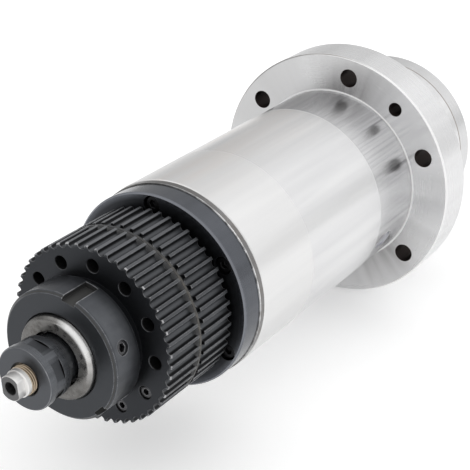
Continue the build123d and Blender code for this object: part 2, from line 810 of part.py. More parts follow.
with BuildPart() as drawbar_nut:
    with BuildSketch(Plane.XY):
        with BuildLine():
            collar_end = Polyline(
                (drawbar_nut_bore_radius + drawbar_nut_countersink, drawbar_nut_rear),
                (collar_radius - drawbar_nut_edge_round, drawbar_nut_rear),
            )
            RadiusArc(
                collar_end @ 1,
                (collar_radius, drawbar_nut_rear + drawbar_nut_edge_round),
                -drawbar_nut_edge_round,
            )
            Polyline(
                (collar_radius, drawbar_nut_rear + drawbar_nut_edge_round),
                (collar_radius, drawbar_nut_flats_front),
                (drawbar_nut_rim_diameter / 2, drawbar_nut_flats_front),
                (drawbar_nut_rim_diameter / 2, drawbar_nut_front),
                (drawbar_nut_neck_diameter / 2, drawbar_nut_front),
                (drawbar_nut_neck_diameter / 2, drawbar_nut_neck_end),
                (drawbar_nut_bore_radius, drawbar_nut_neck_end),
                (drawbar_nut_bore_radius, drawbar_nut_rear + drawbar_nut_countersink),
                (drawbar_nut_bore_radius + drawbar_nut_countersink, drawbar_nut_rear),
            )
        make_face()
    revolve(axis=Axis.Y)
    with BuildSketch(across(drawbar_nut_flats_front)):
        Circle(drawbar_nut_collar_diameter)
        RegularPolygon(
            drawbar_nut_flats / 2,
            6,
            major_radius=False,
            rotation=drawbar_nut_flat_clock,
            mode=Mode.SUBTRACT,
        )
    extrude(amount=drawbar_nut_flats_length, mode=Mode.SUBTRACT)
keep(drawbar_nut, "drawbar_nut")

# Gripper fingers: tail hook in the drawbar's groove, arm, and head that hooks the pull stud
finger_arm_radius = finger_outside / 2
finger_inside_radius = finger_arm_radius - finger_wall
finger_slope_rear = chamber_cone_rear - finger_slope_length

for number in range(finger_count):
    clock = number * 360 / finger_count + 45
    with BuildPart() as finger:
        with BuildSketch(lengthwise(clock + finger_arc / 2)):
            Polygon(
                (rod_groove_diameter / 2 + running_clearance, finger_rear),
                (finger_arm_radius, finger_rear),
                (finger_arm_radius, finger_slope_rear),
                (finger_head_radius, chamber_cone_rear),
                (finger_head_radius, finger_front),
                (finger_hook_inside / 2 + finger_hook_chamfer, finger_front),
                (finger_hook_inside / 2, finger_front - finger_hook_chamfer),
                (finger_hook_inside / 2, finger_front - finger_hook_length),
                (finger_inside_radius, finger_front - finger_hook_length),
                (finger_inside_radius, finger_tail_front),
                (rod_groove_diameter / 2 + running_clearance, finger_tail_front),
                align=None,
            )
        revolve(axis=Axis.Y, revolution_arc=finger_arc)
    keep(finger, f"gripper_finger_{number + 1}")
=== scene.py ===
"""Belt-driven machining spindle, dressed piece by piece in the order of its assembly."""

import math

import bmesh
import bpy
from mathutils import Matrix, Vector


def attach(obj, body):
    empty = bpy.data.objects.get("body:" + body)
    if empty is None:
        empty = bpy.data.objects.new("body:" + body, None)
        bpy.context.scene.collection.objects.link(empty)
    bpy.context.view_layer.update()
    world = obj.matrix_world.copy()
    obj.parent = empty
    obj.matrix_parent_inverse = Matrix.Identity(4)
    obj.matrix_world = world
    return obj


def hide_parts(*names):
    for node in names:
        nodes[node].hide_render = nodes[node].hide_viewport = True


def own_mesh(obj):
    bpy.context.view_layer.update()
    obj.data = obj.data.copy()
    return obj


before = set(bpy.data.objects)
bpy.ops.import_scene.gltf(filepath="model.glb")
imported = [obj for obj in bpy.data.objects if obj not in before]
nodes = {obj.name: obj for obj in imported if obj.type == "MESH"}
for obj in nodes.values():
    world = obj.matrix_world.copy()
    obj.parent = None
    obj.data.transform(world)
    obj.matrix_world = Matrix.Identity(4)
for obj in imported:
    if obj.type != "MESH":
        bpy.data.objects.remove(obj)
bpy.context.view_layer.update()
mm = 0.001


# Camera: a short telephoto view from behind and above the pulley end, level with the horizon,
# as the spindle was photographed.
camera_heading = math.radians(33.2)
camera_drop = math.radians(25.5)
camera_data = bpy.data.cameras.new("camera")
camera_data.lens = 97.12
camera_data.sensor_width = 36.0
camera = bpy.data.objects.new("camera", camera_data)
camera.location = (0.2856, -0.5271, 0.2512)
camera.rotation_euler = (math.pi / 2 - camera_drop, 0, camera_heading)
bpy.context.collection.objects.link(camera)
bpy.context.scene.camera = camera
bpy.context.scene.view_settings.view_transform = "Standard"


# Studio: a light tent whose cloth is brighter high up and to the right, a pale floor under the
# flange, and two broad lamps.
def add_node(tree, kind, **settings):
    """Add a node to a tree and set its properties."""
    node = tree.nodes.new(kind)
    for key, value in settings.items():
        setattr(node, key, value)
    return node


def feed(tree, kind, inputs, output=0, **settings):
    """Add a node, fill its inputs with sockets or plain values, and give back one output."""
    node = add_node(tree, kind, **settings)
    for key, value in inputs.items():
        if isinstance(value, bpy.types.NodeSocket):
            tree.links.new(value, node.inputs[key])
        else:
            node.inputs[key].default_value = value
    return node.outputs[output] if node.outputs else node


def maths(tree, operation, a, b=0.0, c=0.0, use_clamp=False):
    """One step of arithmetic on sockets or numbers."""
    inputs = {0: a, 1: b, 2: c}
    return feed(tree, "ShaderNodeMath", inputs, operation=operation, use_clamp=use_clamp)


def between(tree, value, low, high, start=0.0, end=1.0):
    """Carry a value from one range to another, held at both ends."""
    inputs = {"Value": value, "From Min": low, "From Max": high, "To Min": start, "To Max": end}
    return feed(tree, "ShaderNodeMapRange", inputs)


def parts(tree, vector):
    """The three numbers of a vector."""
    split = add_node(tree, "ShaderNodeSeparateXYZ")
    tree.links.new(vector, split.inputs[0])
    return split.outputs


tent = bpy.data.worlds.new("tent")
tent.use_nodes = True
bpy.context.scene.world = tent
tree = tent.node_tree
tree.nodes.clear()
tent_side, _, tent_height = parts(tree, feed(tree, "ShaderNodeTexCoord", {}, "Generated"))
tent_place = maths(tree, "MULTIPLY_ADD", tent_side, 0.5, tent_height)
tent_level = between(tree, tent_place, -0.05, 0.65, 0.64, 1.0)
cloth = feed(tree, "ShaderNodeBackground", {"Color": (1, 1, 1, 1), "Strength": tent_level})
feed(tree, "ShaderNodeOutputWorld", {"Surface": cloth})

floor_half = 9.0
floor_height = -0.0655
floor_corners = [(-1, -1), (1, -1), (1, 1), (-1, 1)]
floor_mesh = bpy.data.meshes.new("floor")
floor_mesh.from_pydata(
    [(x * floor_half, y * floor_half, floor_height) for x, y in floor_corners], [], [(0, 1, 2, 3)]
)
floor = bpy.data.objects.new("floor", floor_mesh)
bpy.context.collection.objects.link(floor)
floor_paint = bpy.data.materials.new("floor_paint")
floor_paint.use_nodes = True
tree = floor_paint.node_tree
tree.nodes.clear()
paint = feed(tree, "ShaderNodeBsdfDiffuse", {"Color": (0.93, 0.93, 0.93, 1)})
seen = feed(tree, "ShaderNodeLightPath", {}, "Is Camera Ray")
for way in ("Is Glossy Ray", "Is Transmission Ray"):
    seen = maths(tree, "MAXIMUM", seen, feed(tree, "ShaderNodeLightPath", {}, way))
glow_level = maths(tree, "MULTIPLY", seen, 0.26)
glow = feed(tree, "ShaderNodeEmission", {"Color": (1, 1, 1, 1), "Strength": glow_level})
floor_surface = feed(tree, "ShaderNodeAddShader", {0: paint, 1: glow})
feed(tree, "ShaderNodeOutputMaterial", {"Surface": floor_surface})
floor_mesh.materials.append(floor_paint)

lamp_aim = Vector((0, -0.08, 0))
for name, place, size, power in (
    ("right_lamp", (0.9, 0.9, 1.1), 2.0, 2.5),
    ("left_lamp", (-1.2, -0.6, 1.2), 1.8, 2.0),
):
    lamp_data = bpy.data.lights.new(name, "AREA")
    lamp_data.size = size
    lamp_data.energy = power
    lamp = bpy.data.objects.new(name, lamp_data)
    lamp.location = place
    lamp.rotation_euler = (lamp_aim - lamp.location).to_track_quat("-Z", "Y").to_euler()
    bpy.context.collection.objects.link(lamp)


# Housing and flange: bare steel, turned and then ground, the flange shrunk on to the shoulder of
# the nose. The grinding leaves rings round the axis, and wiping leaves streaks along it.
def group_tree(name, inputs, outputs):
    """An empty shader group with number inputs and outputs, and its inner ends."""
    group = bpy.data.node_groups.new(name, "ShaderNodeTree")
    for key, value in inputs.items():
        socket = group.interface.new_socket(key, in_out="INPUT", socket_type="NodeSocketFloat")
        socket.default_value = value
    for key in outputs:
        group.interface.new_socket(key, in_out="OUTPUT", socket_type="NodeSocketFloat")
    given = add_node(group, "NodeGroupInput").outputs
    return group, given, add_node(group, "NodeGroupOutput").inputs


def use_group(tree, group, inputs):
    """Place a shader group in a material and give back its output."""
    return feed(tree, "ShaderNodeGroup", inputs, node_tree=group)


def product(tree, *values):
    """The product of numbers or masks. It is full only where every mask is full."""
    share = values[0]
    for value in values[1:]:
        share = maths(tree, "MULTIPLY", share, value)
    return share


def round_the_axis(tree):
    """Radius, station along the axis, and the two parts of the outward direction at a point."""
    x, y, z = parts(tree, feed(tree, "ShaderNodeTexCoord", {}, "Object"))
    radius = maths(tree, "SQRT", maths(tree, "MULTIPLY_ADD", x, x, product(tree, z, z)))
    radius = maths(tree, "MAXIMUM", radius, 0.1 * mm)
    return radius, y, maths(tree, "DIVIDE", x, radius), maths(tree, "DIVIDE", z, radius)


def clock_at(tree):
    """Clock angle at a point, from the top towards -X."""
    side, top = round_the_axis(tree)[2:]
    return maths(tree, "ARCTAN2", product(tree, side, -1.0), top)


def noise(tree, place, scale, detail, roughness=0.5):
    """Smooth noise at a point."""
    inputs = {"Vector": place, "Scale": scale, "Detail": detail, "Roughness": roughness}
    return feed(tree, "ShaderNodeTexNoise", inputs, "Fac")


def specks(tree, scale, detail, roughness=0.5):
    """Noise that is alike in all directions."""
    place = feed(tree, "ShaderNodeTexCoord", {}, "Object")
    return noise(tree, place, scale, detail, roughness)


def drawn_noise(tree, round_density, along_density, detail, roughness):
    """Noise that changes by one density round the axis and by another along the surface."""
    radius, station, side, top = round_the_axis(tree)
    place = feed(tree, "ShaderNodeCombineXYZ", {
        0: product(tree, side, round_density),
        1: product(tree, maths(tree, "ADD", radius, station), along_density),
        2: product(tree, top, round_density),
    })
    return noise(tree, place, 1.0, detail, roughness)


# Lathe marks: fine rings that follow the tool on faces and cylinders alike.
lathe_marks, given, result = group_tree("lathe_marks", {"Density": 1500.0, "Turn": 2.5}, ["Marks"])
rings = drawn_noise(lathe_marks, given["Turn"], given["Density"], 4.0, 0.65)
lathe_marks.links.new(rings, result["Marks"])

# Wiped streaks: they run along the axis and change quickly round it.
wiped_streaks, given, result = group_tree(
    "wiped_streaks", {"Streaks": 9.0, "Length": 9.0}, ["Tone"]
)
streaks = drawn_noise(wiped_streaks, given["Streaks"], given["Length"], 3.0, 0.55)
wiped_streaks.links.new(between(wiped_streaks, streaks, 0.3, 0.7), result["Tone"])

# Mottle: cloudy stains of a few millimetres.
mottle, given, result = group_tree("mottle", {"Density": 180.0}, ["Tone"])
clouds = specks(mottle, given["Density"], 5.0, 0.6)
mottle.links.new(between(mottle, clouds, 0.35, 0.65), result["Tone"])

# Worn edges: corners that stand out, seen from inside the metal, broken up by small gaps.
worn_edges, given, result = group_tree("worn_edges", {"Width": 0.4 * mm, "Share": 0.6}, ["Worn"])
inside = feed(worn_edges, "ShaderNodeAmbientOcclusion", {"Distance": given["Width"]}, "AO",
              inside=True, only_local=True, samples=6)
corner = between(worn_edges, inside, 0.9, 0.62)
kept = between(worn_edges, specks(worn_edges, 420.0, 3.0), 0.62, 0.38)
kept = maths(worn_edges, "ADD", kept, 0.35)
worn_edges.links.new(product(worn_edges, corner, kept, given["Share"]), result["Worn"])

# Walls of a ring of holes that run along the axis, for the painted shade of their insides.
hole_walls, given, result = group_tree(
    "hole_walls",
    {"Count": 6.0, "First Clock": 0.0, "Circle Radius": 53.5 * mm, "Hole Radius": 4.5 * mm},
    ["Inside"],
)
step = maths(hole_walls, "DIVIDE", 2 * math.pi, given["Count"])
half_step = product(hole_walls, step, 0.5)
turned = maths(hole_walls, "SUBTRACT", clock_at(hole_walls), given["First Clock"])
turned = maths(hole_walls, "FLOORED_MODULO", maths(hole_walls, "ADD", turned, half_step), step)
turned = maths(hole_walls, "SUBTRACT", turned, half_step)
radius = round_the_axis(hole_walls)[0]
aside = product(hole_walls, radius, maths(hole_walls, "SINE", turned))
outward = product(hole_walls, radius, maths(hole_walls, "COSINE", turned))
outward = maths(hole_walls, "SUBTRACT", outward, given["Circle Radius"])
away = maths(hole_walls, "MULTIPLY_ADD", aside, aside, product(hole_walls, outward, outward))
away = maths(hole_walls, "SUBTRACT", maths(hole_walls, "SQRT", away), given["Hole Radius"])
hole_walls.links.new(between(hole_walls, away, 0.12 * mm, 0.08 * mm), result["Inside"])


def blend_colour(tree, share, under, over):
    """Lay one colour over another by a share."""
    return feed(tree, "ShaderNodeMix", {0: share, 6: under, 7: over}, 2, data_type="RGBA")


def machined(
    name, dark, light, sheen, edge, marks, edges, metal=1.0, spread=0.0, cloud=0.2, patches=()
):
    """Machined metal, bare or blackened.

    dark and light are its colours, sheen its lowest and highest roughness, and edge its worn
    colour. marks gives their density, depth and share of the tone, edges the width, share and
    rounding of corners, metal the bareness of the skin, spread how far a highlight is drawn out
    across the marks, and cloud the share of the stains. A patch is a function that gives a mask,
    with the colour, roughness and bareness that the mask brings.
    """
    density, depth, ring_share = marks
    width, wear, rounding = edges
    material = bpy.data.materials.new(name)
    material.use_nodes = True
    tree = material.node_tree
    shader = tree.nodes["Principled BSDF"]
    rings = use_group(tree, lathe_marks, {"Density": density})
    streaks = use_group(tree, wiped_streaks, {})
    stains = product(tree, use_group(tree, mottle, {}), cloud)
    tone = maths(tree, "MULTIPLY_ADD", streaks, 1.0 - ring_share - cloud, stains)
    tone = maths(tree, "MULTIPLY_ADD", rings, ring_share, tone)
    worn = use_group(tree, worn_edges, {"Width": width, "Share": wear})
    colour = blend_colour(tree, tone, (*dark, 1), (*light, 1))
    colour = blend_colour(tree, worn, colour, (*edge, 1))
    grain = maths(tree, "MULTIPLY_ADD", rings, 1.0 - cloud, stains)
    roughness = between(tree, grain, 0.25, 0.75, sheen[0], sheen[1])
    bare = between(tree, worn, 0.0, 1.0, metal, 1.0)
    for mask, patch_colour, patch_roughness, patch_metal in patches:
        share = mask(tree)
        colour = blend_colour(tree, share, colour, (*patch_colour, 1))
        roughness = between(tree, share, 0.0, 1.0, roughness, patch_roughness)
        if metal < 1.0 or patch_metal < 1.0:
            bare = between(tree, share, 0.0, 1.0, bare, patch_metal)
    tree.links.new(colour, shader.inputs["Base Color"])
    tree.links.new(roughness, shader.inputs["Roughness"])
    if metal < 1.0 or any(patch[3] < 1.0 for patch in patches):
        tree.links.new(bare, shader.inputs["Metallic"])
    else:
        shader.inputs["Metallic"].default_value = 1.0
    rounded = feed(tree, "ShaderNodeBevel", {"Radius": rounding}, samples=4)
    raised = feed(tree, "ShaderNodeBump",
                  {"Height": rings, "Strength": 0.5, "Distance": depth, "Normal": rounded})
    tree.links.new(raised, shader.inputs["Normal"])
    if spread:
        shader.inputs["Anisotropic"].default_value = spread
        shader.inputs["Anisotropic Rotation"].default_value = 0.25
        tangent = feed(tree, "ShaderNodeTangent", {}, direction_type="RADIAL", axis="Y")
        tree.links.new(tangent, shader.inputs["Tangent"])
    return material


def dress(material, *names):
    """Give CAD nodes a material."""
    for name in names:
        mesh = nodes[name].data
        mesh.materials.clear()
        mesh.materials.append(material)


def beyond(tree, radius):
    """Mask of all that lies outside a radius."""
    return maths(tree, "GREATER_THAN", round_the_axis(tree)[0], radius)


def within(tree, radius):
    """Mask of all that lies inside a radius."""
    return maths(tree, "LESS_THAN", round_the_axis(tree)[0], radius)


def ahead(tree, station):
    """Mask of all that lies ahead of a station."""
    return maths(tree, "GREATER_THAN", round_the_axis(tree)[1], station)


def behind(tree, station):
    """Mask of all that lies behind a station."""
    return maths(tree, "LESS_THAN", round_the_axis(tree)[1], station)


def stretch(tree, rear, front):
    """Mask of the stretch between two stations."""
    middle, half = (rear + front) / 2, (front - rear) / 2
    return maths(tree, "COMPARE", round_the_axis(tree)[1], middle, half)


def across(tree, none, full, start=0.0, end=1.0):
    """Mask that grows from one radius to another."""
    return between(tree, round_the_axis(tree)[0], none, full, start, end)


def along(tree, none, full, start=0.0, end=1.0):
    """Mask that grows from one station to another."""
    return between(tree, round_the_axis(tree)[1], none, full, start, end)


def near_clock(tree, middle, reach, strength=1.0):
    """Mask of a sector of the turn, in degrees: gone at its reach, full at a quarter of it.
    A strength above 1 makes it full farther out."""
    away = maths(tree, "SUBTRACT", clock_at(tree), math.radians(middle))
    away = maths(tree, "ABSOLUTE", maths(tree, "WRAP", away, math.pi, -math.pi))
    sector = between(tree, away, math.radians(reach), math.radians(0.25 * reach))
    return maths(tree, "MULTIPLY", sector, strength, use_clamp=True)


def streaked(tree, streaks, length, start, end, low=0.0, high=1.0):
    """Wiped streaks as a mask between two shares."""
    tone = use_group(tree, wiped_streaks, {"Streaks": streaks, "Length": length})
    return between(tree, tone, low, high, start, end)


def clouded(tree, density, start, end, low=0.0, high=1.0):
    """Mottle as a mask between two shares."""
    return between(tree, use_group(tree, mottle, {"Density": density}), low, high, start, end)


# The flange's rear face lies at station 0, and stations behind it are negative.
cover_joint = 57.5 * mm
flange_skin = 0.5 * mm
flange_bevel = 1.0 * mm
band_rear = -33.5 * mm
handled_front = -97.0 * mm
# Painted shade for the insides of holes.
hole_shade = (0.042, 0.032, 0.030)


def reflection_bands(tree):
    """Broad soft darker bands along the body, painted reflections of the studio. They end where the
    handled stretch begins."""
    front = along(tree, handled_front - 0.4 * mm, handled_front + 0.1 * mm)
    return product(tree, front, streaked(tree, 3.2, 3.0, 0.0, 0.55, low=0.1, high=0.9))


def on_band(tree):
    """Mask of the band between the flange and the fine bevel at its rear end."""
    return stretch(tree, band_rear + 0.2 * mm, -0.1 * mm)


def band_reflection(tree):
    """The same band, painted darker in streaks as the reflection of the flange."""
    return product(tree, on_band(tree), streaked(tree, 11.0, 7.0, 0.8, 0.2))


def hole_reflection_streak(tree):
    """Painted dark reflection of the upper bolt hole, drawn out in streaks along the band."""
    streaks = streaked(tree, 16.0, 10.0, 0.8, 0.3)
    return product(tree, on_band(tree), near_clock(tree, 13.0, 22.0), streaks)


def band_reflection_lines(tree):
    """Fine dark lines along the band, painted reflections of the flange drawn out along the axis.
    """
    return product(tree, on_band(tree), streaked(tree, 42.0, 9.0, 0.0, 0.4, low=0.45, high=1.0))


def hole_reflections(tree):
    """Painted reflections of three flange holes, drawn out as short dark lines on the band."""
    share = 0.0
    for clock in (-7.7, -37.5, -66.5):
        share = maths(tree, "MAXIMUM", share, near_clock(tree, clock, 5.5))
    length = product(tree, along(tree, -25.0 * mm, -11.0 * mm), behind(tree, -0.1 * mm))
    return product(tree, share, length, streaked(tree, 55.0, 12.0, 0.0, 0.6, low=0.35, high=0.85))


def pocket_floor(tree):
    """The two shallow pockets milled in the band, which keep a bluish film of oil."""
    floor = product(tree, beyond(tree, 42.5 * mm), across(tree, 44.62 * mm, 44.3 * mm))
    return product(tree, floor, stretch(tree, -31.3 * mm, -15.3 * mm))


def handled_end(tree):
    """The rear stretch of the body, a shade warmer from the hands and oil that it has met."""
    rear = along(tree, handled_front + 0.4 * mm, handled_front - 0.4 * mm)
    return product(tree, rear, streaked(tree, 3.0, 14.0, 0.35, 0.65))


def warm_side(tree):
    """The upper side of the body, where dried oil has left a faint warm tint in streaks."""
    streaks = streaked(tree, 5.0, 12.0, 0.0, 0.7, low=0.2, high=1.0)
    return product(tree, near_clock(tree, 32.0, 60.0), streaks, behind(tree, band_rear))


def cover_ring(tree):
    """The front cover, cut from another bar and a shade darker."""
    return product(tree, ahead(tree, cover_joint), 0.6)


def nose_joint(tree):
    """The joint between nose and front cover, brown with old oil."""
    return stretch(tree, cover_joint - 0.35 * mm, cover_joint + 0.35 * mm)


def band_edge_highlight(tree):
    """The fine bevel at the rear end of the band, with a painted highlight line."""
    return stretch(tree, band_rear - 0.2 * mm, band_rear + 0.4 * mm)


# Its near white edge colour gives worn corners and also a painted highlight line along them.
ground_steel = machined(
    "ground_steel", dark=(0.71, 0.71, 0.715), light=(0.80, 0.80, 0.80), sheen=(0.255, 0.27),
    edge=(0.92, 0.92, 0.92), marks=(1400.0, 0.0004 * mm, 0.03), edges=(0.45 * mm, 1.0, 0.25 * mm),
    spread=0.7, cloud=0.03,
    patches=[
        (reflection_bands, (0.60, 0.60, 0.61), 0.25, 1.0),
        (band_reflection, (0.52, 0.52, 0.53), 0.22, 1.0),
        (hole_reflection_streak, (0.28, 0.275, 0.28), 0.25, 1.0),
        (band_reflection_lines, (0.34, 0.335, 0.35), 0.22, 1.0),
        (hole_reflections, (0.17, 0.165, 0.175), 0.24, 1.0),
        (pocket_floor, (0.60, 0.60, 0.63), 0.3, 1.0),
        (handled_end, (0.73, 0.727, 0.723), 0.35, 1.0),
        (warm_side, (0.76, 0.70, 0.66), 0.27, 1.0),
        (cover_ring, (0.60, 0.60, 0.605), 0.28, 1.0),
        (nose_joint, (0.33, 0.29, 0.26), 0.4, 1.0),
        (band_edge_highlight, (0.93, 0.93, 0.93), 0.5, 0.3),
    ],
)


def duller_shaded_side(tree):
    """One side of the flange's face, a little duller and painted darker as shade."""
    return product(tree, near_clock(tree, 52.0, 62.0), behind(tree, flange_skin), 0.7)


def cut_rays(tree):
    """Soft rays on the flange's face, where the ground rings catch the light by turns."""
    rays = streaked(tree, 5.0, 1.0, 0.0, 0.3, low=0.2, high=0.8)
    return product(tree, behind(tree, flange_skin), rays)


def reflection_fan(tree):
    """A painted bright reflection in one sector of the flange's face."""
    streaks = streaked(tree, 14.0, 5.0, 0.6, 1.0)
    return product(tree, near_clock(tree, -50.0, 30.0), behind(tree, flange_skin), streaks)


def dark_reflection_fan(tree):
    """Painted dark reflections round the upper bolt hole and under the body, fading outwards."""
    share = maths(tree, "MAXIMUM", near_clock(tree, -9.0, 24.0), near_clock(tree, -143.0, 40.0))
    outwards = across(tree, 62.0 * mm, 48.0 * mm, 0.3, 0.9)
    streaks = streaked(tree, 12.0, 6.0, 1.0, 0.5)
    return product(tree, share, behind(tree, flange_bevel), outwards, streaks)


def flange_joint_highlight(tree):
    """The bevel of the flange round the band, with a painted highlight line."""
    return product(tree, within(tree, 45.6 * mm), behind(tree, flange_bevel))


def flange_rim_highlight(tree):
    """The bevel at the rear edge of the flange's rim, with a painted highlight line on one side."""
    corner = product(tree, beyond(tree, 62.8 * mm), behind(tree, 0.75 * mm))
    return product(tree, corner, near_clock(tree, -75.0, 95.0, strength=2.0))


def rim_shadow_line(tree):
    """The same bevel on the other side, with a painted brownish shadow line."""
    line = product(tree, beyond(tree, 63.1 * mm), behind(tree, 0.6 * mm))
    return product(tree, line, near_clock(tree, 35.0, 60.0, strength=1.6), 0.85)


def bolt_holes(tree):
    """The insides of the flange's six bolt holes, painted dark as shade."""
    return use_group(tree, hole_walls, {"First Clock": math.radians(-7.7)})


def jack_holes(tree):
    """The insides of the flange's two jack holes, painted dark as shade."""
    return use_group(tree, hole_walls, {
        "Count": 2.0, "First Clock": math.radians(-38.3), "Hole Radius": 3.4 * mm,
    })


# Its near white edge colour gives worn corners and also a painted highlight line along them.
flange_steel = machined(
    "flange_steel", dark=(0.69, 0.69, 0.695), light=(0.77, 0.77, 0.775), sheen=(0.24, 0.30),
    edge=(0.95, 0.95, 0.95), marks=(1100.0, 0.002 * mm, 0.15), edges=(0.6 * mm, 1.2, 0.3 * mm),
    spread=0.85, cloud=0.03,
    patches=[
        (duller_shaded_side, (0.46, 0.46, 0.46), 0.3, 1.0),
        (cut_rays, (0.56, 0.56, 0.565), 0.26, 1.0),
        (reflection_fan, (0.92, 0.92, 0.925), 0.25, 1.0),
        (dark_reflection_fan, (0.30, 0.295, 0.295), 0.25, 1.0),
        (flange_joint_highlight, (1.0, 1.0, 1.0), 0.5, 0.0),
        (flange_rim_highlight, (1.0, 1.0, 1.0), 0.5, 0.0),
        (rim_shadow_line, (0.20, 0.18, 0.165), 0.4, 1.0),
        (bolt_holes, hole_shade, 0.5, 1.0),
        (jack_holes, hole_shade, 0.5, 1.0),
    ],
)
dress(ground_steel, "housing")
dress(flange_steel, "mounting_flange")


# Bearings: through-hardened and ground rings with brass cages, and ground spacers between the
# front pair. They are pressed into the housing and on the shaft.
bearing_steel = machined(
    "bearing_steel", dark=(0.50, 0.50, 0.51), light=(0.68, 0.68, 0.69), sheen=(0.10, 0.22),
    edge=(0.85, 0.85, 0.85), marks=(2200.0, 0.003 * mm, 0.3), edges=(0.3 * mm, 0.5, 0.25 * mm),
    spread=0.4,
)
cage_brass = machined(
    "cage_brass", dark=(0.56, 0.40, 0.18), light=(0.76, 0.60, 0.30), sheen=(0.22, 0.38),
    edge=(0.86, 0.74, 0.46), marks=(1300.0, 0.008 * mm, 0.3), edges=(0.3 * mm, 0.6, 0.2 * mm),
    spread=0.3,
)
dress(bearing_steel, "front_outer_rings", "front_outer_spacer", "front_inner_rings",
      "front_inner_spacer", "rear_outer_rings", "rear_inner_rings")
dress(cage_brass, "front_cages", "rear_cages")


# Shaft: hardened steel, ground on its seats and polished at the open rear end, where oil has left
# a brown tint, with painted shade on one side of the end and a painted highlight on the other.
nut_front = -198.8 * mm
nut_rear = -213.8 * mm
shaft_end = -216.6 * mm


def oil_tint(tree):
    """Broad clouds of old oil."""
    return between(tree, specks(tree, 90.0, 2.0), 0.45, 0.6, 0.0, 0.55)


def shaft_end_face(tree):
    """The flat face at the open end, left dull inside its polished rounding."""
    face = product(tree, behind(tree, shaft_end + 0.1 * mm), across(tree, 16.6 * mm, 16.0 * mm))
    return product(tree, face, clouded(tree, 380.0, 0.1, 0.95, low=0.15, high=0.85))


def tarnish_and_shade(tree):
    """One side of the open end, greyed by old oil and painted darker as the drawbar nut's shade."""
    side = near_clock(tree, 120.0, 180.0, strength=2.0)
    return product(tree, side, behind(tree, nut_rear + 0.3 * mm), clouded(tree, 260.0, 0.8, 1.0))


def highlight_crescent(tree):
    """A painted highlight on one side of the rounded end."""
    side = near_clock(tree, -42.0, 36.0, strength=1.6)
    ring = product(tree, across(tree, 15.4 * mm, 16.3 * mm), across(tree, 18.5 * mm, 17.7 * mm))
    return product(tree, side, ring, behind(tree, nut_rear - 0.2 * mm))


polished_steel = machined(
    "polished_steel", dark=(0.44, 0.43, 0.42), light=(0.68, 0.67, 0.66), sheen=(0.12, 0.24),
    edge=(0.86, 0.85, 0.83), marks=(1700.0, 0.004 * mm, 0.3), edges=(0.3 * mm, 0.5, 0.3 * mm),
    spread=0.5, cloud=0.45,
    patches=[
        (oil_tint, (0.20, 0.18, 0.16), 0.3, 1.0),
        (tarnish_and_shade, (0.085, 0.082, 0.078), 0.26, 0.95),
        (shaft_end_face, (0.185, 0.180, 0.173), 0.36, 0.5),
        (highlight_crescent, (0.86, 0.86, 0.855), 0.3, 0.35),
    ],
)
dress(polished_steel, "spindle_shaft")


# Lock nuts: blackened steel, turned and then given a satin black oxide skin, which wears through
# at corners. The front one clamps the front bearings, and the rear one holds the pulley.
def nut_face(tree):
    """The lock nut's rear face, whose thicker skin is darker than its turned side."""
    face = product(tree, behind(tree, nut_rear + 0.4 * mm), across(tree, 26.6 * mm, 26.2 * mm))
    return product(tree, face, 0.9)


def nut_slot_shade(tree):
    """The floors and sides of the lock nut's spanner slots, painted darker and duller as shade."""
    slots = product(tree, beyond(tree, 24.6 * mm), across(tree, 27.45 * mm, 26.9 * mm))
    return product(tree, slots, stretch(tree, nut_rear + 0.2 * mm, nut_front))


def nut_side_sheen(tree):
    """One side of the lock nut, painted greyer as a sheen."""
    side = product(tree, near_clock(tree, -60.0, 44.0), beyond(tree, 27.3 * mm))
    rear = along(tree, nut_rear + 1.6 * mm, nut_rear + 2.2 * mm)
    front = along(tree, nut_front - 1.0 * mm, nut_front - 1.6 * mm)
    return product(tree, side, rear, front, clouded(tree, 220.0, 0.5, 0.95))


worn_steel = (0.34, 0.345, 0.36)
black_oxide = machined(
    "black_oxide", dark=(0.050, 0.053, 0.059), light=(0.084, 0.089, 0.099), sheen=(0.26, 0.38),
    edge=worn_steel, marks=(1500.0, 0.006 * mm, 0.3), edges=(0.5 * mm, 1.4, 0.3 * mm),
    metal=0.9, spread=0.2,
    patches=[
        (nut_face, (0.046, 0.049, 0.054), 0.38, 0.9),
        (nut_slot_shade, (0.050, 0.050, 0.049), 0.5, 0.5),
        (nut_side_sheen, (0.108, 0.113, 0.123), 0.34, 0.9),
    ],
)
dress(black_oxide, "front_lock_nut", "rear_lock_nut")


# Front cover: ground steel ring that closes the nose and holds the front bearings. Six blackened
# cap screws, sunk in counterbores, clamp it to the housing.
def turned_shell(name, profile, segments):
    """Closed mesh round the axis from pairs of station and radius. A radius may be a function of
    the clock."""
    clocks = [2 * math.pi * number / segments for number in range(segments)]
    shell = bmesh.new()
    rings = []
    for station, radius in profile:
        reach = [radius(clock) if callable(radius) else radius for clock in clocks]
        rings.append([
            shell.verts.new((-math.sin(clock) * size, station, math.cos(clock) * size))
            for clock, size in zip(clocks, reach)
        ])
    for lower, upper in zip(rings, rings[1:]):
        for number in range(segments):
            after = (number + 1) % segments
            shell.faces.new((lower[number], lower[after], upper[after], upper[number]))
    bmesh.ops.remove_doubles(shell, verts=shell.verts, dist=1e-7)
    bmesh.ops.recalc_face_normals(shell, faces=shell.faces)
    mesh = bpy.data.meshes.new(name)
    shell.to_mesh(mesh)
    shell.free()
    piece = bpy.data.objects.new(name, mesh)
    bpy.context.collection.objects.link(piece)
    smooth(mesh)
    return piece


def smooth(mesh):
    """Shade a mesh smooth between its sharp corners."""
    mesh.shade_smooth()
    mesh.set_sharp_from_angle(angle=math.radians(30.0))


def flats(width, count=6, first=0.0):
    """Radius of a regular outline with a given width across its flats, as a function of the
    clock."""
    step = 2 * math.pi / count

    def radius(clock):
        return width / 2 / math.cos((clock - first + step / 2) % step - step / 2)
    return radius


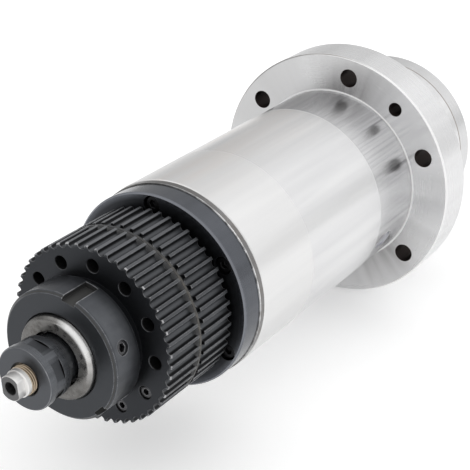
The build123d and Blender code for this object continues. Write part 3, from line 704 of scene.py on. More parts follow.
def socket_screw(name, head, head_length, shank, length, socket, socket_depth):
    """Screw with a hexagon socket, its top at station 0 and its shank along the axis."""
    rim = 0.08 * head
    profile = [
        (socket_depth + 0.25 * socket, 0),
        (socket_depth, flats(socket)),
        (0.06 * socket, flats(socket)),
        (0, flats(1.1 * socket)),
        (0, head / 2 - rim),
        (0.3 * rim, head / 2 - 0.3 * rim),
        (rim, head / 2),
    ]
    if shank < head:
        profile += [(head_length - 0.5 * rim, head / 2), (head_length, head / 2 - 0.5 * rim)]
    profile += [
        (max(head_length, rim), shank / 2),
        (length - 0.1 * shank, shank / 2),
        (length, 0.4 * shank),
        (length, 0),
    ]
    return turned_shell(name, profile, 36)


def sized_tree(name, inputs):
    """Geometry tree with named inputs, and its inner ends."""
    tree = bpy.data.node_groups.new(name, "GeometryNodeTree")
    tree.is_modifier = True
    for key, kind in inputs.items():
        tree.interface.new_socket(key, in_out="INPUT", socket_type=f"NodeSocket{kind}")
    tree.interface.new_socket("Piece", in_out="OUTPUT", socket_type="NodeSocketGeometry")
    given = add_node(tree, "NodeGroupInput").outputs
    return tree, given, add_node(tree, "NodeGroupOutput").inputs["Piece"]


def grow(piece, tree, sizes):
    """Run a geometry tree on a piece and keep the result as its plain mesh."""
    modifier = piece.modifiers.new(tree.name, "NODES")
    modifier.node_group = tree
    for item in tree.interface.items_tree:
        if item.in_out == "INPUT" and item.name in sizes:
            modifier[item.identifier] = sizes[item.name]
    grown = piece.evaluated_get(bpy.context.evaluated_depsgraph_get())
    mesh = bpy.data.meshes.new_from_object(grown)
    piece.modifiers.clear()
    piece.data = mesh
    shell = bmesh.new()
    shell.from_mesh(mesh)
    bmesh.ops.recalc_face_normals(shell, faces=shell.faces)
    shell.to_mesh(mesh)
    shell.free()
    smooth(mesh)


def angles(tree, x=0.0, y=0.0, z=0.0):
    """A turn from three angles."""
    vector = feed(tree, "ShaderNodeCombineXYZ", {0: x, 1: y, 2: z})
    return feed(tree, "FunctionNodeEulerToRotation", {0: vector})


def set_out(tree, count, template, rotation):
    """Copies of a geometry at the origin, each with its own turn."""
    places = feed(tree, "GeometryNodePoints", {"Count": count})
    inputs = {"Points": places, "Instance": template, "Rotation": rotation}
    return feed(tree, "GeometryNodeInstanceOnPoints", inputs)


def turn_copies(tree, copies, rotation):
    """Turn copies round the origin."""
    inputs = {"Instances": copies, "Rotation": rotation, "Local Space": False}
    return feed(tree, "GeometryNodeRotateInstances", inputs)


def shift_copies(tree, copies, shift):
    """Shift copies along the tree's own axes."""
    inputs = {"Instances": copies, "Translation": shift, "Local Space": False}
    return feed(tree, "GeometryNodeTranslateInstances", inputs)


def end_tree(tree, geometry, material, result):
    """Make the copies real, give the piece its material and end the tree."""
    geometry = feed(tree, "GeometryNodeRealizeInstances", {"Geometry": geometry})
    inputs = {"Geometry": geometry, "Material": material}
    tree.links.new(feed(tree, "GeometryNodeSetMaterial", inputs), result)


# Ring of screws: one screw is repeated round the axis, each turned by its own amount.
screw_ring, given, result = sized_tree("screw_ring", {
    "Screw": "Geometry", "Count": "Int", "First Clock": "Float", "Clock Step": "Float",
    "Circle Radius": "Float", "Station": "Float", "Lean": "Float", "Seed": "Int",
    "Material": "Material",
})
number = feed(screw_ring, "GeometryNodeInputIndex", {})
spin = add_node(screw_ring, "FunctionNodeRandomValue", data_type="FLOAT")
spin.inputs[3].default_value = math.pi / 3
screw_ring.links.new(given["Seed"], spin.inputs["Seed"])
screw_ring.links.new(number, spin.inputs["ID"])
spin_turn = angles(screw_ring, y=spin.outputs[1])
screws = set_out(screw_ring, given["Count"], given["Screw"], spin_turn)
screws = turn_copies(screw_ring, screws, angles(screw_ring, x=given["Lean"]))
offset = feed(screw_ring, "ShaderNodeCombineXYZ", {1: given["Station"], 2: given["Circle Radius"]})
screws = shift_copies(screw_ring, screws, offset)
clock = maths(screw_ring, "MULTIPLY_ADD", number, given["Clock Step"], given["First Clock"])
screws = turn_copies(screw_ring, screws, angles(screw_ring, y=product(screw_ring, clock, -1.0)))
end_tree(screw_ring, screws, given["Material"], result)


screw_steel = machined(
    "screw_steel", dark=(0.05, 0.05, 0.053), light=(0.10, 0.10, 0.105), sheen=(0.26, 0.40),
    edge=(0.45, 0.45, 0.46), marks=(2500.0, 0.004 * mm, 0.3), edges=(0.35 * mm, 0.9, 0.2 * mm),
    metal=0.9,
)
dress(screw_steel, "rear_cover_screws", "front_cover_screws", "drive_key_screws", "balance_screws",
      "lock_nut_screws")


def fit_screws(
    screw, node, body, count, first, step, circle, station, seed, lean=0.0, finish=screw_steel
):
    """Set a ring of screws in place of their CAD node. Clocks are in degrees, sizes in metres."""
    grow(screw, screw_ring, {
        "Count": count, "First Clock": math.radians(first), "Clock Step": math.radians(step),
        "Circle Radius": circle, "Station": station, "Lean": lean, "Seed": seed, "Material": finish,
    })
    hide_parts(node)
    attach(screw, body)


dress(ground_steel, "front_cover")
front_screws = socket_screw(
    "front_cover_cap_screws", head=7 * mm, head_length=4 * mm, shank=4 * mm, length=18 * mm,
    socket=3 * mm, socket_depth=2 * mm,
)
fit_screws(
    front_screws, "front_cover_screws", "housing", count=6, first=-90.0, step=60.0,
    circle=40.5 * mm, station=67.7 * mm, lean=math.pi, seed=3,
)


# Tool drive keys: hardened and ground blocks, fitted in the slot across the nose. One blackened
# cap screw holds each of them.
bright_steel = machined(
    "bright_steel", dark=(0.52, 0.515, 0.51), light=(0.72, 0.715, 0.71), sheen=(0.16, 0.30),
    edge=(0.86, 0.86, 0.86), marks=(1600.0, 0.005 * mm, 0.3), edges=(0.35 * mm, 0.6, 0.3 * mm),
)
dress(bright_steel, "drive_keys")
key_screws = socket_screw(
    "drive_key_cap_screws", head=8.5 * mm, head_length=5 * mm, shank=5 * mm, length=21 * mm,
    socket=4 * mm, socket_depth=2.5 * mm,
)
fit_screws(
    key_screws, "drive_key_screws", "rotor", count=2, first=0.0, step=180.0,
    circle=21.9375 * mm, station=82.5 * mm, lean=math.pi, seed=5,
)


# Ground ring and rear cover: the ring is ground to set the bearings' preload, and the blackened
# cover holds it with six cap screws, whose heads sit low in their counterbores.
ring_rear = -139.8 * mm


def brown_stain(tree):
    """Streaks of old oil along the ring's edge."""
    return streaked(tree, 5.0, 20.0, 0.0, 0.35)


def ring_top(tree):
    """The upper side of the ring, painted darker."""
    return product(tree, near_clock(tree, 45.0, 75.0), 0.75)


def nicked_corner_highlight(tree):
    """The ring's sharp rear corner, nicked, with a painted highlight on one side."""
    corner = stretch(tree, ring_rear - 0.02 * mm, ring_rear + 0.42 * mm)
    nicks = between(tree, specks(tree, 260.0, 3.0), 0.42, 0.55, 0.25, 1.0)
    return product(tree, corner, near_clock(tree, -62.0, 75.0), nicks)


ring_steel = machined(
    "ring_steel", dark=(0.15, 0.15, 0.152), light=(0.26, 0.26, 0.262), sheen=(0.22, 0.34),
    edge=(0.90, 0.90, 0.90), marks=(1800.0, 0.005 * mm, 0.2), edges=(0.4 * mm, 0.5, 0.2 * mm),
    spread=0.5,
    patches=[
        (brown_stain, (0.16, 0.13, 0.105), 0.3, 1.0),
        (ring_top, (0.09, 0.087, 0.083), 0.3, 1.0),
        (nicked_corner_highlight, (0.9, 0.9, 0.9), 0.4, 0.4),
    ],
)


def cover_inside_shade(tree):
    """The cover's rear face and all inside it, painted dark as the shade behind the pulley."""
    return across(tree, 43.5 * mm, 41.0 * mm)


def cover_chamfer(tree):
    """The cover's rear bevel, which shows a bluish line of light."""
    return product(tree, along(tree, -149.3 * mm, -150.1 * mm), across(tree, 43.3 * mm, 43.6 * mm))


cover_oxide = machined(
    "cover_oxide", dark=(0.078, 0.083, 0.094), light=(0.108, 0.114, 0.128), sheen=(0.17, 0.24),
    edge=worn_steel, marks=(1600.0, 0.003 * mm, 0.2), edges=(0.4 * mm, 0.5, 0.3 * mm),
    metal=0.9, spread=0.3,
    patches=[
        (cover_inside_shade, (0.035, 0.037, 0.041), 0.4, 1.0),
        (cover_chamfer, (0.20, 0.21, 0.235), 0.35, 0.5),
    ],
)
# Near black finish for the sunk screw heads of the rear cover: painted shade in the counterbores.
shaded_screw_oxide = machined(
    "shaded_screw_oxide", dark=(0.012, 0.012, 0.013), light=(0.024, 0.024, 0.026), sheen=(0.36, 0.48),
    edge=(0.05, 0.05, 0.053), marks=(2500.0, 0.004 * mm, 0.3), edges=(0.3 * mm, 0.6, 0.2 * mm),
    metal=0.9,
)
dress(ring_steel, "rear_ring")
dress(cover_oxide, "rear_cover")
rear_screws = socket_screw(
    "rear_cover_cap_screws", head=7 * mm, head_length=4 * mm, shank=4 * mm, length=20.55 * mm,
    socket=3 * mm, socket_depth=2 * mm,
)
fit_screws(
    rear_screws, "rear_cover_screws", "housing", count=6, first=-117.5, step=60.0,
    circle=39.4 * mm, station=-149.35 * mm, seed=7, finish=shaded_screw_oxide,
)


# Spacer and key: the ground sleeve carries the clamping force from the pulley to the bearings,
# and the parallel key drives the pulley.
dress(bright_steel, "pulley_spacer", "pulley_key")


# Pulley: blackened steel with two rows of round-bottomed teeth, a relief groove and a worn land
# between them, and a ring of face holes. It is hobbed all round, and sits on the shaft's key.
tooth_count = 50
tooth_pitch = 5.0 * mm
groove_depth = 2.2 * mm
groove_points = 11
tip_radius = tooth_count * tooth_pitch / math.pi / 2 - 0.57 * mm
floor_radius = tip_radius - groove_depth
pulley_front = -153.0 * mm
front_row_rear = -172.0 * mm
land_front = -174.4 * mm
land_rear = -175.5 * mm
land_radius = tip_radius - 0.05 * mm
pulley_rear = -194.3 * mm
row_edge = 0.25 * mm
hole_count = 12
hole_clock = math.radians(-4.6)
hole_circle = 31.3 * mm
hole_sides = 32
hub_sides = 96
weld_gap = 0.002 * mm


def around(tree, template, count, first, way=1.0):
    """Repeat a geometry around the middle of its own plane."""
    number = feed(tree, "GeometryNodeInputIndex", {})
    step = maths(tree, "DIVIDE", 2 * math.pi * way, count)
    turn = angles(tree, z=maths(tree, "MULTIPLY_ADD", number, step, first))
    copies = set_out(tree, count, template, turn)
    return feed(tree, "GeometryNodeRealizeInstances", {"Geometry": copies})


def length_of(tree, vector):
    """How far a point lies from the origin."""
    return feed(tree, "ShaderNodeVectorMath", {0: vector}, "Value", operation="LENGTH")


def moved_to(tree, geometry, place):
    """Put every point of a geometry at a place."""
    return feed(tree, "GeometryNodeSetPosition", {"Geometry": geometry, "Position": place})


def moved_by(tree, geometry, y=0.0, z=0.0):
    """Shift every point of a geometry."""
    shift = feed(tree, "ShaderNodeCombineXYZ", {1: y, 2: z})
    return feed(tree, "GeometryNodeSetPosition", {"Geometry": geometry, "Offset": shift})


toothed_pulley, given, result = sized_tree("toothed_pulley", {
    "Rail": "Geometry", "Teeth": "Int", "Tip Radius": "Float", "Groove Radius": "Float",
    "Groove Depth": "Float", "Tip Round": "Float", "First Groove": "Float", "Rear Face": "Float",
    "Front Face": "Float", "Face Chamfer": "Float", "Hub Radius": "Float", "Hub Length": "Float",
    "Bore Radius": "Float", "Holes": "Int", "First Hole": "Float", "Hole Circle": "Float",
    "Hole Radius": "Float", "Hole Mouth": "Float", "Hole Depth": "Float", "Material": "Material",
})
tree = toothed_pulley

# One groove, open at the tip, is repeated and joined to a closed outline with rounded tips.
centre = maths(tree, "SUBTRACT", given["Tip Radius"], given["Groove Depth"])
centre = maths(tree, "ADD", centre, given["Groove Radius"])
arc = feed(tree, "GeometryNodeCurveArc", {
    "Resolution": groove_points, "Radius": given["Groove Radius"], "Start Angle": math.pi,
    "Sweep Angle": math.pi,
})
ends = feed(tree, "GeometryNodeCurveEndpointSelection", {"Start Size": 1, "End Size": 1})
rise = feed(tree, "ShaderNodeCombineXYZ", {1: maths(tree, "SUBTRACT", given["Tip Radius"], centre)})
arc = feed(tree, "GeometryNodeSetPosition", {"Geometry": arc, "Selection": ends, "Offset": rise})
groove = moved_by(tree, arc, y=centre)
grooves = around(tree, groove, given["Teeth"], given["First Groove"], -1.0)
dots = feed(tree, "GeometryNodeCurveToPoints", {"Curve": grooves}, mode="EVALUATED")
order = feed(tree, "GeometryNodeInputIndex", {})
outline = feed(tree, "GeometryNodePointsToCurves", {"Points": dots, "Weight": order})
outline = feed(tree, "GeometryNodeSetSplineCyclic", {"Geometry": outline, "Cyclic": True})
reach = length_of(tree, feed(tree, "GeometryNodeInputPosition", {}))
near_tip = maths(tree, "SUBTRACT", given["Tip Radius"], 0.1 * mm)
rounding = product(tree, maths(tree, "GREATER_THAN", reach, near_tip), given["Tip Round"])
outline = feed(tree, "GeometryNodeFilletCurve", {
    "Curve": outline, "Count": 3, "Radius": rounding, "Limit Radius": True,
}, mode="POLY")
place = feed(tree, "GeometryNodeInputPosition", {})
outward = feed(tree, "ShaderNodeVectorMath", {0: place}, operation="NORMALIZE")
for name, kind, value in (
    ("outward", "FLOAT_VECTOR", outward), ("reach", "FLOAT", length_of(tree, place)),
):
    outline = feed(tree, "GeometryNodeStoreNamedAttribute",
                   {"Geometry": outline, "Name": name, "Value": value}, data_type=kind)


def named(name, kind="FLOAT"):
    """A value that is stored on the points."""
    return feed(tree, "GeometryNodeInputNamedAttribute", {"Name": name}, data_type=kind)


# The outline is swept along the rail, whose points hold the radius between two limits: that cuts
# the relief, fills the land and bevels the ends of both rows.
rail = feed(tree, "GeometryNodeMeshToCurve", {"Mesh": given["Rail"]})
teeth = feed(tree, "GeometryNodeCurveToMesh", {"Curve": rail, "Profile Curve": outline})
held = maths(tree, "MAXIMUM", named("reach"), named("lowest"))
held = maths(tree, "MINIMUM", held, named("highest"))
flat, upright, _ = parts(tree, named("outward", "FLOAT_VECTOR"))
teeth = moved_to(tree, teeth, feed(tree, "ShaderNodeCombineXYZ", {
    0: product(tree, flat, held), 1: named("station"), 2: product(tree, upright, held),
}))

# Rear face with its hole mouths, hub and hub end, then the front face.
edge_radius = maths(tree, "SUBTRACT", given["Tip Radius"], given["Face Chamfer"])
edge_radius = maths(tree, "MINIMUM", named("reach"), edge_radius)
edge = moved_to(tree, outline, feed(tree, "ShaderNodeCombineXYZ", {
    0: product(tree, flat, edge_radius), 1: product(tree, upright, edge_radius),
}))


def round_outline(sides, radius):
    """Round outline in the drawing plane."""
    return feed(tree, "GeometryNodeCurvePrimitiveCircle", {"Resolution": sides, "Radius": radius})


def joined(*pieces):
    """Join geometries into one."""
    node = add_node(tree, "GeometryNodeJoinGeometry")
    for piece in pieces:
        tree.links.new(piece, node.inputs[0])
    return node.outputs[0]


def filled(*curves):
    """Flat face between closed outlines."""
    return feed(tree, "GeometryNodeFillCurve", {"Curve": joined(*curves)})


def sleeve(sides, start_radius, end_radius, depth):
    """Open conical or straight wall, from one radius to another over a depth."""
    return feed(tree, "GeometryNodeMeshCone", {
        "Vertices": sides, "Side Segments": 1, "Radius Bottom": start_radius,
        "Radius Top": end_radius, "Depth": depth,
    }, fill_type="NONE")


mouth = round_outline(hole_sides, given["Hole Mouth"])
mouth = moved_by(tree, mouth, y=given["Hole Circle"])
mouths = around(tree, mouth, given["Holes"], given["First Hole"])
hub_circle = round_outline(hub_sides, given["Hub Radius"])
bore_circle = round_outline(hub_sides, given["Bore Radius"])
rear_face = filled(edge, mouths, hub_circle)
mouth_depth = maths(tree, "SUBTRACT", given["Hole Mouth"], given["Hole Radius"])
hole_end = maths(tree, "ADD", mouth_depth, given["Hole Depth"])
hole_wall = sleeve(hole_sides, given["Hole Radius"], given["Hole Radius"], given["Hole Depth"])
hole = joined(
    sleeve(hole_sides, given["Hole Mouth"], given["Hole Radius"], mouth_depth),
    moved_by(tree, hole_wall, z=mouth_depth),
    moved_by(tree, sleeve(hole_sides, given["Hole Radius"], 0.0, given["Hole Radius"]), z=hole_end),
)
hole = moved_by(tree, hole, y=given["Hole Circle"])
holes = around(tree, hole, given["Holes"], given["First Hole"])
hub_back = product(tree, given["Hub Length"], -1.0)
hub_wall = sleeve(hub_sides, given["Hub Radius"], given["Hub Radius"], given["Hub Length"])
hub_wall = moved_by(tree, hub_wall, z=hub_back)
hub_end = moved_by(tree, filled(hub_circle, bore_circle), z=hub_back)
whole_length = maths(tree, "SUBTRACT", given["Front Face"], given["Rear Face"])
bore_length = maths(tree, "ADD", whole_length, given["Hub Length"])
bore = sleeve(hub_sides, given["Bore Radius"], given["Bore Radius"], bore_length)
bore = moved_by(tree, bore, z=hub_back)
front_face = moved_by(tree, filled(edge, bore_circle), z=whole_length)

# These parts are turned from their drawing plane into a plane across the axis and closed.
x, y, z = parts(tree, feed(tree, "GeometryNodeInputPosition", {}))
upright_place = {0: x, 1: maths(tree, "ADD", z, given["Rear Face"]), 2: y}
ends = joined(rear_face, holes, hub_wall, hub_end, bore, front_face)
ends = moved_to(tree, ends, feed(tree, "ShaderNodeCombineXYZ", upright_place))
whole = feed(tree, "GeometryNodeMergeByDistance",
             {"Geometry": joined(teeth, ends), "Distance": weld_gap})
end_tree(tree, whole, given["Material"], result)

rail_points = [
    (pulley_rear, 0.0, tip_radius - row_edge),
    (pulley_rear + row_edge, 0.0, tip_radius),
    (land_rear - 0.8 * mm, 0.0, tip_radius),
    (land_rear, land_radius, tip_radius),
    (land_front, land_radius, tip_radius),
    (land_front, 0.0, floor_radius),
    (front_row_rear, 0.0, floor_radius),
    (front_row_rear, 0.0, tip_radius - 0.5 * row_edge),
    (front_row_rear + 0.5 * row_edge, 0.0, tip_radius),
    (pulley_front - row_edge, 0.0, tip_radius),
    (pulley_front, 0.0, tip_radius - row_edge),
]
rail_mesh = bpy.data.meshes.new("toothed_drive_pulley")
rail_mesh.from_pydata(
    [(0, number * mm, 0) for number in range(len(rail_points))],
    [(number, number + 1) for number in range(len(rail_points) - 1)],
    [],
)
for column, name in enumerate(("station", "lowest", "highest")):
    attribute = rail_mesh.attributes.new(name, "FLOAT", "POINT")
    for number, point in enumerate(rail_points):
        attribute.data[number].value = point[column]
pulley = bpy.data.objects.new("toothed_drive_pulley", rail_mesh)
bpy.context.collection.objects.link(pulley)


def flank_shadows(tree):
    """The sides of the grooves just below the tips, painted dark as the shadow of each tip."""
    rows = stretch(tree, pulley_rear + 0.3 * mm, pulley_front - 0.3 * mm)
    under_tip = across(tree, tip_radius - 0.25 * mm, tip_radius - 0.45 * mm)
    over_floor = across(tree, tip_radius - 1.75 * mm, tip_radius - 1.35 * mm, 0.0, 0.85)
    return product(tree, rows, under_tip, over_floor)


def rear_face_shade(tree):
    """The pulley's rear face, painted darker than its teeth as shade."""
    inside = across(tree, tip_radius - 0.5 * mm, tip_radius - 1.5 * mm, 0.0, 0.95)
    return product(tree, behind(tree, pulley_rear + 0.05 * mm), inside)


def face_holes(tree):
    """The insides of the pulley's face holes, painted dark as shade."""
    return use_group(tree, hole_walls, {
        "Count": float(hole_count), "First Clock": hole_clock, "Circle Radius": hole_circle,
        "Hole Radius": 2.9 * mm,
    })


def run_out_fill_light(tree):
    """The cutter's run-out at the rear row's groove ends, painted lighter to fill its shade."""
    slope = along(tree, land_rear - 1.3 * mm, land_rear - 0.5 * mm)
    return product(tree, slope, behind(tree, land_rear + 0.02 * mm), beyond(tree, 36.5 * mm))


def tip_highlights(tree):
    """The tips of the upper teeth, painted greyer as a highlight."""
    return product(tree, beyond(tree, tip_radius - 0.2 * mm), near_clock(tree, -3.0, 34.0), 0.8)


def on_land(tree):
    """Mask of the land between the rows."""
    middle = stretch(tree, land_rear - 0.2 * mm, land_front + 0.2 * mm)
    return product(tree, beyond(tree, tip_radius - 0.3 * mm), middle)


def land_shade(tree):
    """Most of the land, painted as dark as the grooves as shade."""
    return product(tree, on_land(tree), 0.8)


def land(tree):
    """The side of the land where the belt has rubbed it brown."""
    side = near_clock(tree, -68.0, 70.0)
    return product(tree, on_land(tree), side, clouded(tree, 700.0, 0.2, 1.0))


def tooth_ends(tree):
    """The corners of the teeth at the rear face, knocked bright here and there."""
    tips = beyond(tree, tip_radius - 0.5 * mm)
    knocks = between(tree, specks(tree, 330.0, 1.0), 0.46, 0.6)
    return product(tree, tips, behind(tree, pulley_rear + 0.6 * mm), knocks)


pulley_oxide = machined(
    "pulley_oxide", dark=(0.060, 0.063, 0.068), light=(0.086, 0.090, 0.097), sheen=(0.34, 0.46),
    edge=(0.40, 0.40, 0.41), marks=(1300.0, 0.005 * mm, 0.3), edges=(0.35 * mm, 0.75, 0.2 * mm),
    metal=0.85,
    patches=[
        (flank_shadows, (0.014, 0.014, 0.015), 0.5, 0.9),
        (rear_face_shade, (0.030, 0.032, 0.036), 0.40, 0.9),
        (face_holes, (0.016, 0.016, 0.017), 0.45, 0.6),
        (run_out_fill_light, (0.082, 0.083, 0.085), 0.45, 0.2),
        (tip_highlights, (0.165, 0.170, 0.182), 0.40, 0.85),
        (land_shade, (0.036, 0.037, 0.039), 0.45, 0.9),
        (land, (0.095, 0.088, 0.077), 0.45, 0.5),
        (tooth_ends, (0.42, 0.42, 0.43), 0.35, 0.9),
    ],
)
grow(pulley, toothed_pulley, {
    "Teeth": tooth_count, "Tip Radius": tip_radius, "Groove Radius": 1.75 * mm,
    "Groove Depth": groove_depth, "Tip Round": 0.3 * mm, "First Groove": math.radians(3.9),
    "Rear Face": pulley_rear, "Front Face": pulley_front, "Face Chamfer": row_edge,
    "Hub Radius": 25.0 * mm, "Hub Length": 4.3 * mm, "Bore Radius": 19.03 * mm,
    "Holes": hole_count, "First Hole": hole_clock, "Hole Circle": hole_circle,
    "Hole Radius": 2.85 * mm, "Hole Mouth": 3.15 * mm, "Hole Depth": 13.0 * mm,
    "Material": pulley_oxide,
})
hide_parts("drive_pulley")
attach(pulley, "rotor")
balance_screws = socket_screw(
    "balance_set_screws", head=5.64 * mm, head_length=0.3 * mm, shank=5.64 * mm, length=6 * mm,
    socket=2.5 * mm, socket_depth=2.4 * mm,
)
fit_screws(
    balance_screws, "balance_screws", "rotor", count=2, first=-154.6, step=30.0,
    circle=hole_circle, station=-193.7 * mm, seed=2,
)


# Lock nut screws: three blackened radial set screws, which keep the rear lock nut from turning on
# the shaft's thread behind the pulley.
nut_screws = socket_screw(
    "lock_nut_set_screws", head=5.94 * mm, head_length=0.3 * mm, shank=5.94 * mm,
    length=7.9 * mm, socket=3 * mm, socket_depth=2.4 * mm,
)
fit_screws(
    nut_screws, "lock_nut_screws", "rotor", count=3, first=-70.9, step=120.0,
    circle=27.1 * mm, station=-207.1 * mm, lean=-math.pi / 2, seed=4,
)


# Disc springs and their seat: spring steel discs nested in fours, every second four turned round,
# stacked round the drawbar.
spring_steel = machined(
    "spring_steel", dark=(0.16, 0.16, 0.165), light=(0.30, 0.30, 0.31), sheen=(0.26, 0.40),
    edge=(0.62, 0.62, 0.62), marks=(1500.0, 0.004 * mm, 0.3), edges=(0.3 * mm, 0.6, 0.2 * mm),
)
stack_rear = -208.0 * mm
stack_front = -34.0 * mm
four_count = 28
four_length = (stack_front - stack_rear) / four_count
disc_hole = 6.1 * mm
disc_rim = 11.5 * mm
cone_height = 0.8 * mm
disc_thickness = (four_length - cone_height) / 4
oil_gap = 0.02 * mm

disc_stack, given, result = sized_tree("disc_stack", {
    "Disc": "Geometry", "Count": "Int", "Nested": "Int", "Rear Station": "Float",
    "Disc Thickness": "Float", "Group Length": "Float", "Material": "Material",
})
tree = disc_stack
number = feed(tree, "GeometryNodeInputIndex", {})
group = maths(tree, "FLOOR", maths(tree, "DIVIDE", number, given["Nested"]))
place_in_group = maths(tree, "FLOORED_MODULO", number, given["Nested"])
turned = maths(tree, "FLOORED_MODULO", group, 2.0)
depth = product(tree, place_in_group, given["Disc Thickness"])
depth = product(tree, depth, maths(tree, "MULTIPLY_ADD", turned, -2.0, 1.0))
groups_below = maths(tree, "ADD", group, turned)
station = maths(tree, "MULTIPLY_ADD", groups_below, given["Group Length"], depth)
station = maths(tree, "ADD", station, given["Rear Station"])
way_round = angles(tree, z=product(tree, turned, math.pi))
discs = set_out(tree, given["Count"], given["Disc"], way_round)
discs = shift_copies(tree, discs, feed(tree, "ShaderNodeCombineXYZ", {1: station}))
end_tree(tree, discs, given["Material"], result)

springs = turned_shell("nested_disc_springs", [
    (0, disc_hole),
    (cone_height, disc_rim),
    (cone_height + disc_thickness - oil_gap, disc_rim),
    (disc_thickness - oil_gap, disc_hole),
    (0, disc_hole),
], 48)
grow(springs, disc_stack, {
    "Count": 4 * four_count, "Nested": 4, "Rear Station": stack_rear,
    "Disc Thickness": disc_thickness, "Group Length": four_length, "Material": spring_steel,
})
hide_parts("disc_springs")
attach(springs, "rotor")
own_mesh(springs)
dress(bright_steel, "spring_seat")


# Drawbar: bright turned steel rod with a rolled thread for its blackened nut, and a tip with two
# flats and a bore for the air that blows the taper clean. Oil has left the thread brass-coloured.
def held_flats(width, count, first, rim):
    """Radius of a round outline with flats on it, as a function of the clock."""
    outline = flats(width, count, first)
    return lambda clock: min(rim, outline(clock))


def rolled_thread(start, end, crest, depth, pitch):
    """Profile points of a helical thread, one every eighth of its pitch."""
    steps = round((end - start) / pitch * 8)

    def at(station):
        def radius(clock):
            wave = (station / pitch + clock / (2 * math.pi)) % 1.0
            return crest - depth * abs(2 * wave - 1)
        return radius
    stations = [start + (end - start) * number / steps for number in range(steps + 1)]
    return [(station, at(station)) for station in stations]


tip_clock = math.radians(-85.0)
tip_end = -241.4 * mm
neck_end = -237.5 * mm
neck_radius = 5.7 * mm
thread_end = -235.6 * mm
tip_front = thread_end - 0.05 * mm
thread_crest = 6.0 * mm
stem_rear = -209.0 * mm
stem_radius = 5.3 * mm
groove_rear = -22.3 * mm
groove_front = -18.7 * mm
groove_floor = 3.6 * mm
head_radius = 5.6 * mm
head_end = -14.5 * mm
air_bore = 1.6 * mm
inlet_bore = 2.6 * mm
inlet_end = -221.4 * mm
tip_sides = [held_flats(7.8 * mm, 2, tip_clock, radius * mm) for radius in (4.8, 5.2)]
rod_profile = [
    (tip_end + 0.3 * mm, inlet_bore),
    (tip_end, inlet_bore + 0.3 * mm),
    (tip_end, tip_sides[0]),
    (tip_end + 0.4 * mm, tip_sides[1]),
    (neck_end, tip_sides[1]),
    (neck_end, neck_radius - 0.25 * mm),
    (neck_end + 0.25 * mm, neck_radius),
    (thread_end, neck_radius),
    *rolled_thread(thread_end + 0.1 * mm, -232.6 * mm, thread_crest, 0.55 * mm, 1.0 * mm),
    (stem_rear, thread_crest),
    (stem_rear, stem_radius),
    (groove_rear, stem_radius),
    (groove_rear, groove_floor),
    (groove_front, groove_floor),
    (groove_front, head_radius - 0.25 * mm),
    (groove_front + 0.25 * mm, head_radius),
    (head_end - 0.4 * mm, head_radius),
    (head_end, head_radius - 0.4 * mm),
    (head_end, air_bore),
    (inlet_end, air_bore),
    (inlet_end, inlet_bore),
    (tip_end + 0.3 * mm, inlet_bore),
]


def oiled_thread(tree):
    """The thread, brass-coloured with oil."""
    return along(tree, thread_end - 0.1 * mm, thread_end + 0.1 * mm, 0.0, 0.85)


def thread_root(tree):
    """The dirt that stays at the root of the thread."""
    root = across(tree, 5.82 * mm, 5.6 * mm, 0.0, 0.9)
    return product(tree, ahead(tree, thread_end), root)


def wiped_tip(tree):
    """The tip and its neck, wiped clean and left satin."""
    return product(tree, behind(tree, tip_front), 0.8)


def tip_shade(tree):
    """One side of the tip, painted darker as shade."""
    side = near_clock(tree, 35.0, 62.0, strength=1.5)
    return product(tree, side, behind(tree, tip_front), 0.75)


def neck_gleam(tree):
    """The neck of the tip, with a painted highlight on one side."""
    neck = stretch(tree, neck_end - 0.05 * mm, tip_front)
    return product(tree, neck, near_clock(tree, -80.0, 75.0))


def tip_underside(tree):
    """The underside of the tip, painted darker as shade."""
    side = near_clock(tree, -150.0, 52.0, strength=1.5)
    return product(tree, side, behind(tree, neck_end - 0.1 * mm))


def tip_face(tree):
    """The sawn end of the tip and the bore in it, left dark."""
    bore = within(tree, inlet_bore + 0.35 * mm)
    return maths(tree, "MAXIMUM", behind(tree, tip_end + 0.05 * mm), bore)


rod_steel = machined(
    "rod_steel", dark=(0.66, 0.655, 0.65), light=(0.84, 0.835, 0.83), sheen=(0.20, 0.32),
    edge=(0.94, 0.94, 0.94), marks=(1600.0, 0.003 * mm, 0.2), edges=(0.3 * mm, 0.8, 0.2 * mm),
    patches=[
        (oiled_thread, (0.43, 0.33, 0.21), 0.3, 1.0),
        (thread_root, (0.07, 0.043, 0.027), 0.5, 1.0),
        (wiped_tip, (0.84, 0.835, 0.825), 0.34, 0.3),
        (tip_shade, (0.40, 0.39, 0.385), 0.34, 0.6),
        (neck_gleam, (0.95, 0.94, 0.92), 0.3, 0.1),
        (tip_underside, (0.38, 0.375, 0.375), 0.34, 0.6),
        (tip_face, (0.12, 0.12, 0.122), 0.38, 0.8),
    ],
)
rod = turned_shell("drawbar_rod", rod_profile, 96)
rod.data.materials.append(rod_steel)
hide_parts("drawbar")
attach(rod, "drawbar")


# Drawbar nut: blackened steel with a round collar and six milled flats, handled, with painted
# shade at the steps of its flats and beside its thread. It is screwed on the drawbar's rear
# thread, and its neck bears on the springs.
collar_skin = -233.45 * mm
flats_front = -224.9 * mm
flats_rear = -230.3 * mm


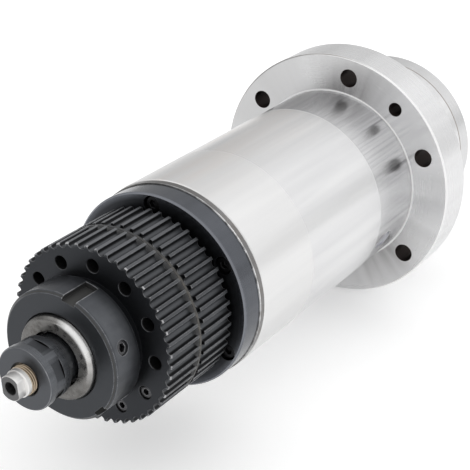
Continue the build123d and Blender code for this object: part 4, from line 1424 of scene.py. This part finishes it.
def nut_flats(tree):
    """The drawbar nut's milled flats, a little darker than its turned skin."""
    flat = across(tree, 12.66 * mm, 12.5 * mm, 0.0, 0.7)
    return product(tree, stretch(tree, flats_rear, flats_front), flat)


def flat_end_shade(tree):
    """The steps at the ends of the flats, painted near black as shade."""
    rear = along(tree, flats_front - 0.6 * mm, flats_front - 0.3 * mm)
    front = along(tree, flats_front + 0.3 * mm, flats_front)
    return product(tree, rear, front, across(tree, 12.68 * mm, 12.6 * mm))


def collar_face(tree):
    """The drawbar nut's flat rear face."""
    return product(tree, behind(tree, collar_skin), 0.9)


def collar_shade(tree):
    """Painted shade on one side of the same face, beside the thread."""
    smear = across(tree, 12.4 * mm, 10.2 * mm, 0.0, 0.85)
    return product(tree, near_clock(tree, -42.0, 46.0), behind(tree, collar_skin), smear)


def collar_edge(tree):
    """The collar's rounded rear edge, a fine light line of rubbed wear and painted highlight."""
    line = maths(tree, "COMPARE", round_the_axis(tree)[0], 12.85 * mm, 0.14 * mm)
    return product(tree, line, behind(tree, -232.8 * mm), clouded(tree, 200.0, 0.2, 0.9))


nut_oxide = machined(
    "nut_oxide", dark=(0.084, 0.089, 0.097), light=(0.122, 0.128, 0.139), sheen=(0.24, 0.34),
    edge=worn_steel, marks=(1700.0, 0.006 * mm, 0.3), edges=(0.25 * mm, 0.3, 0.3 * mm),
    metal=0.9,
    patches=[
        (nut_flats, (0.050, 0.053, 0.058), 0.34, 0.9),
        (flat_end_shade, (0.006, 0.006, 0.0065), 0.6, 0.9),
        (collar_face, (0.078, 0.082, 0.090), 0.38, 0.9),
        (collar_shade, (0.022, 0.022, 0.023), 0.42, 0.7),
        (collar_edge, (0.30, 0.305, 0.32), 0.35, 0.9),
    ],
)
dress(nut_oxide, "drawbar_nut")


# Gripper: four hardened steel fingers, turned and slit. They hang in the drawbar's groove, and
# close on the tool's pull stud when the springs draw the rod back.
dress(bright_steel, "gripper_finger_1", "gripper_finger_2", "gripper_finger_3", "gripper_finger_4")
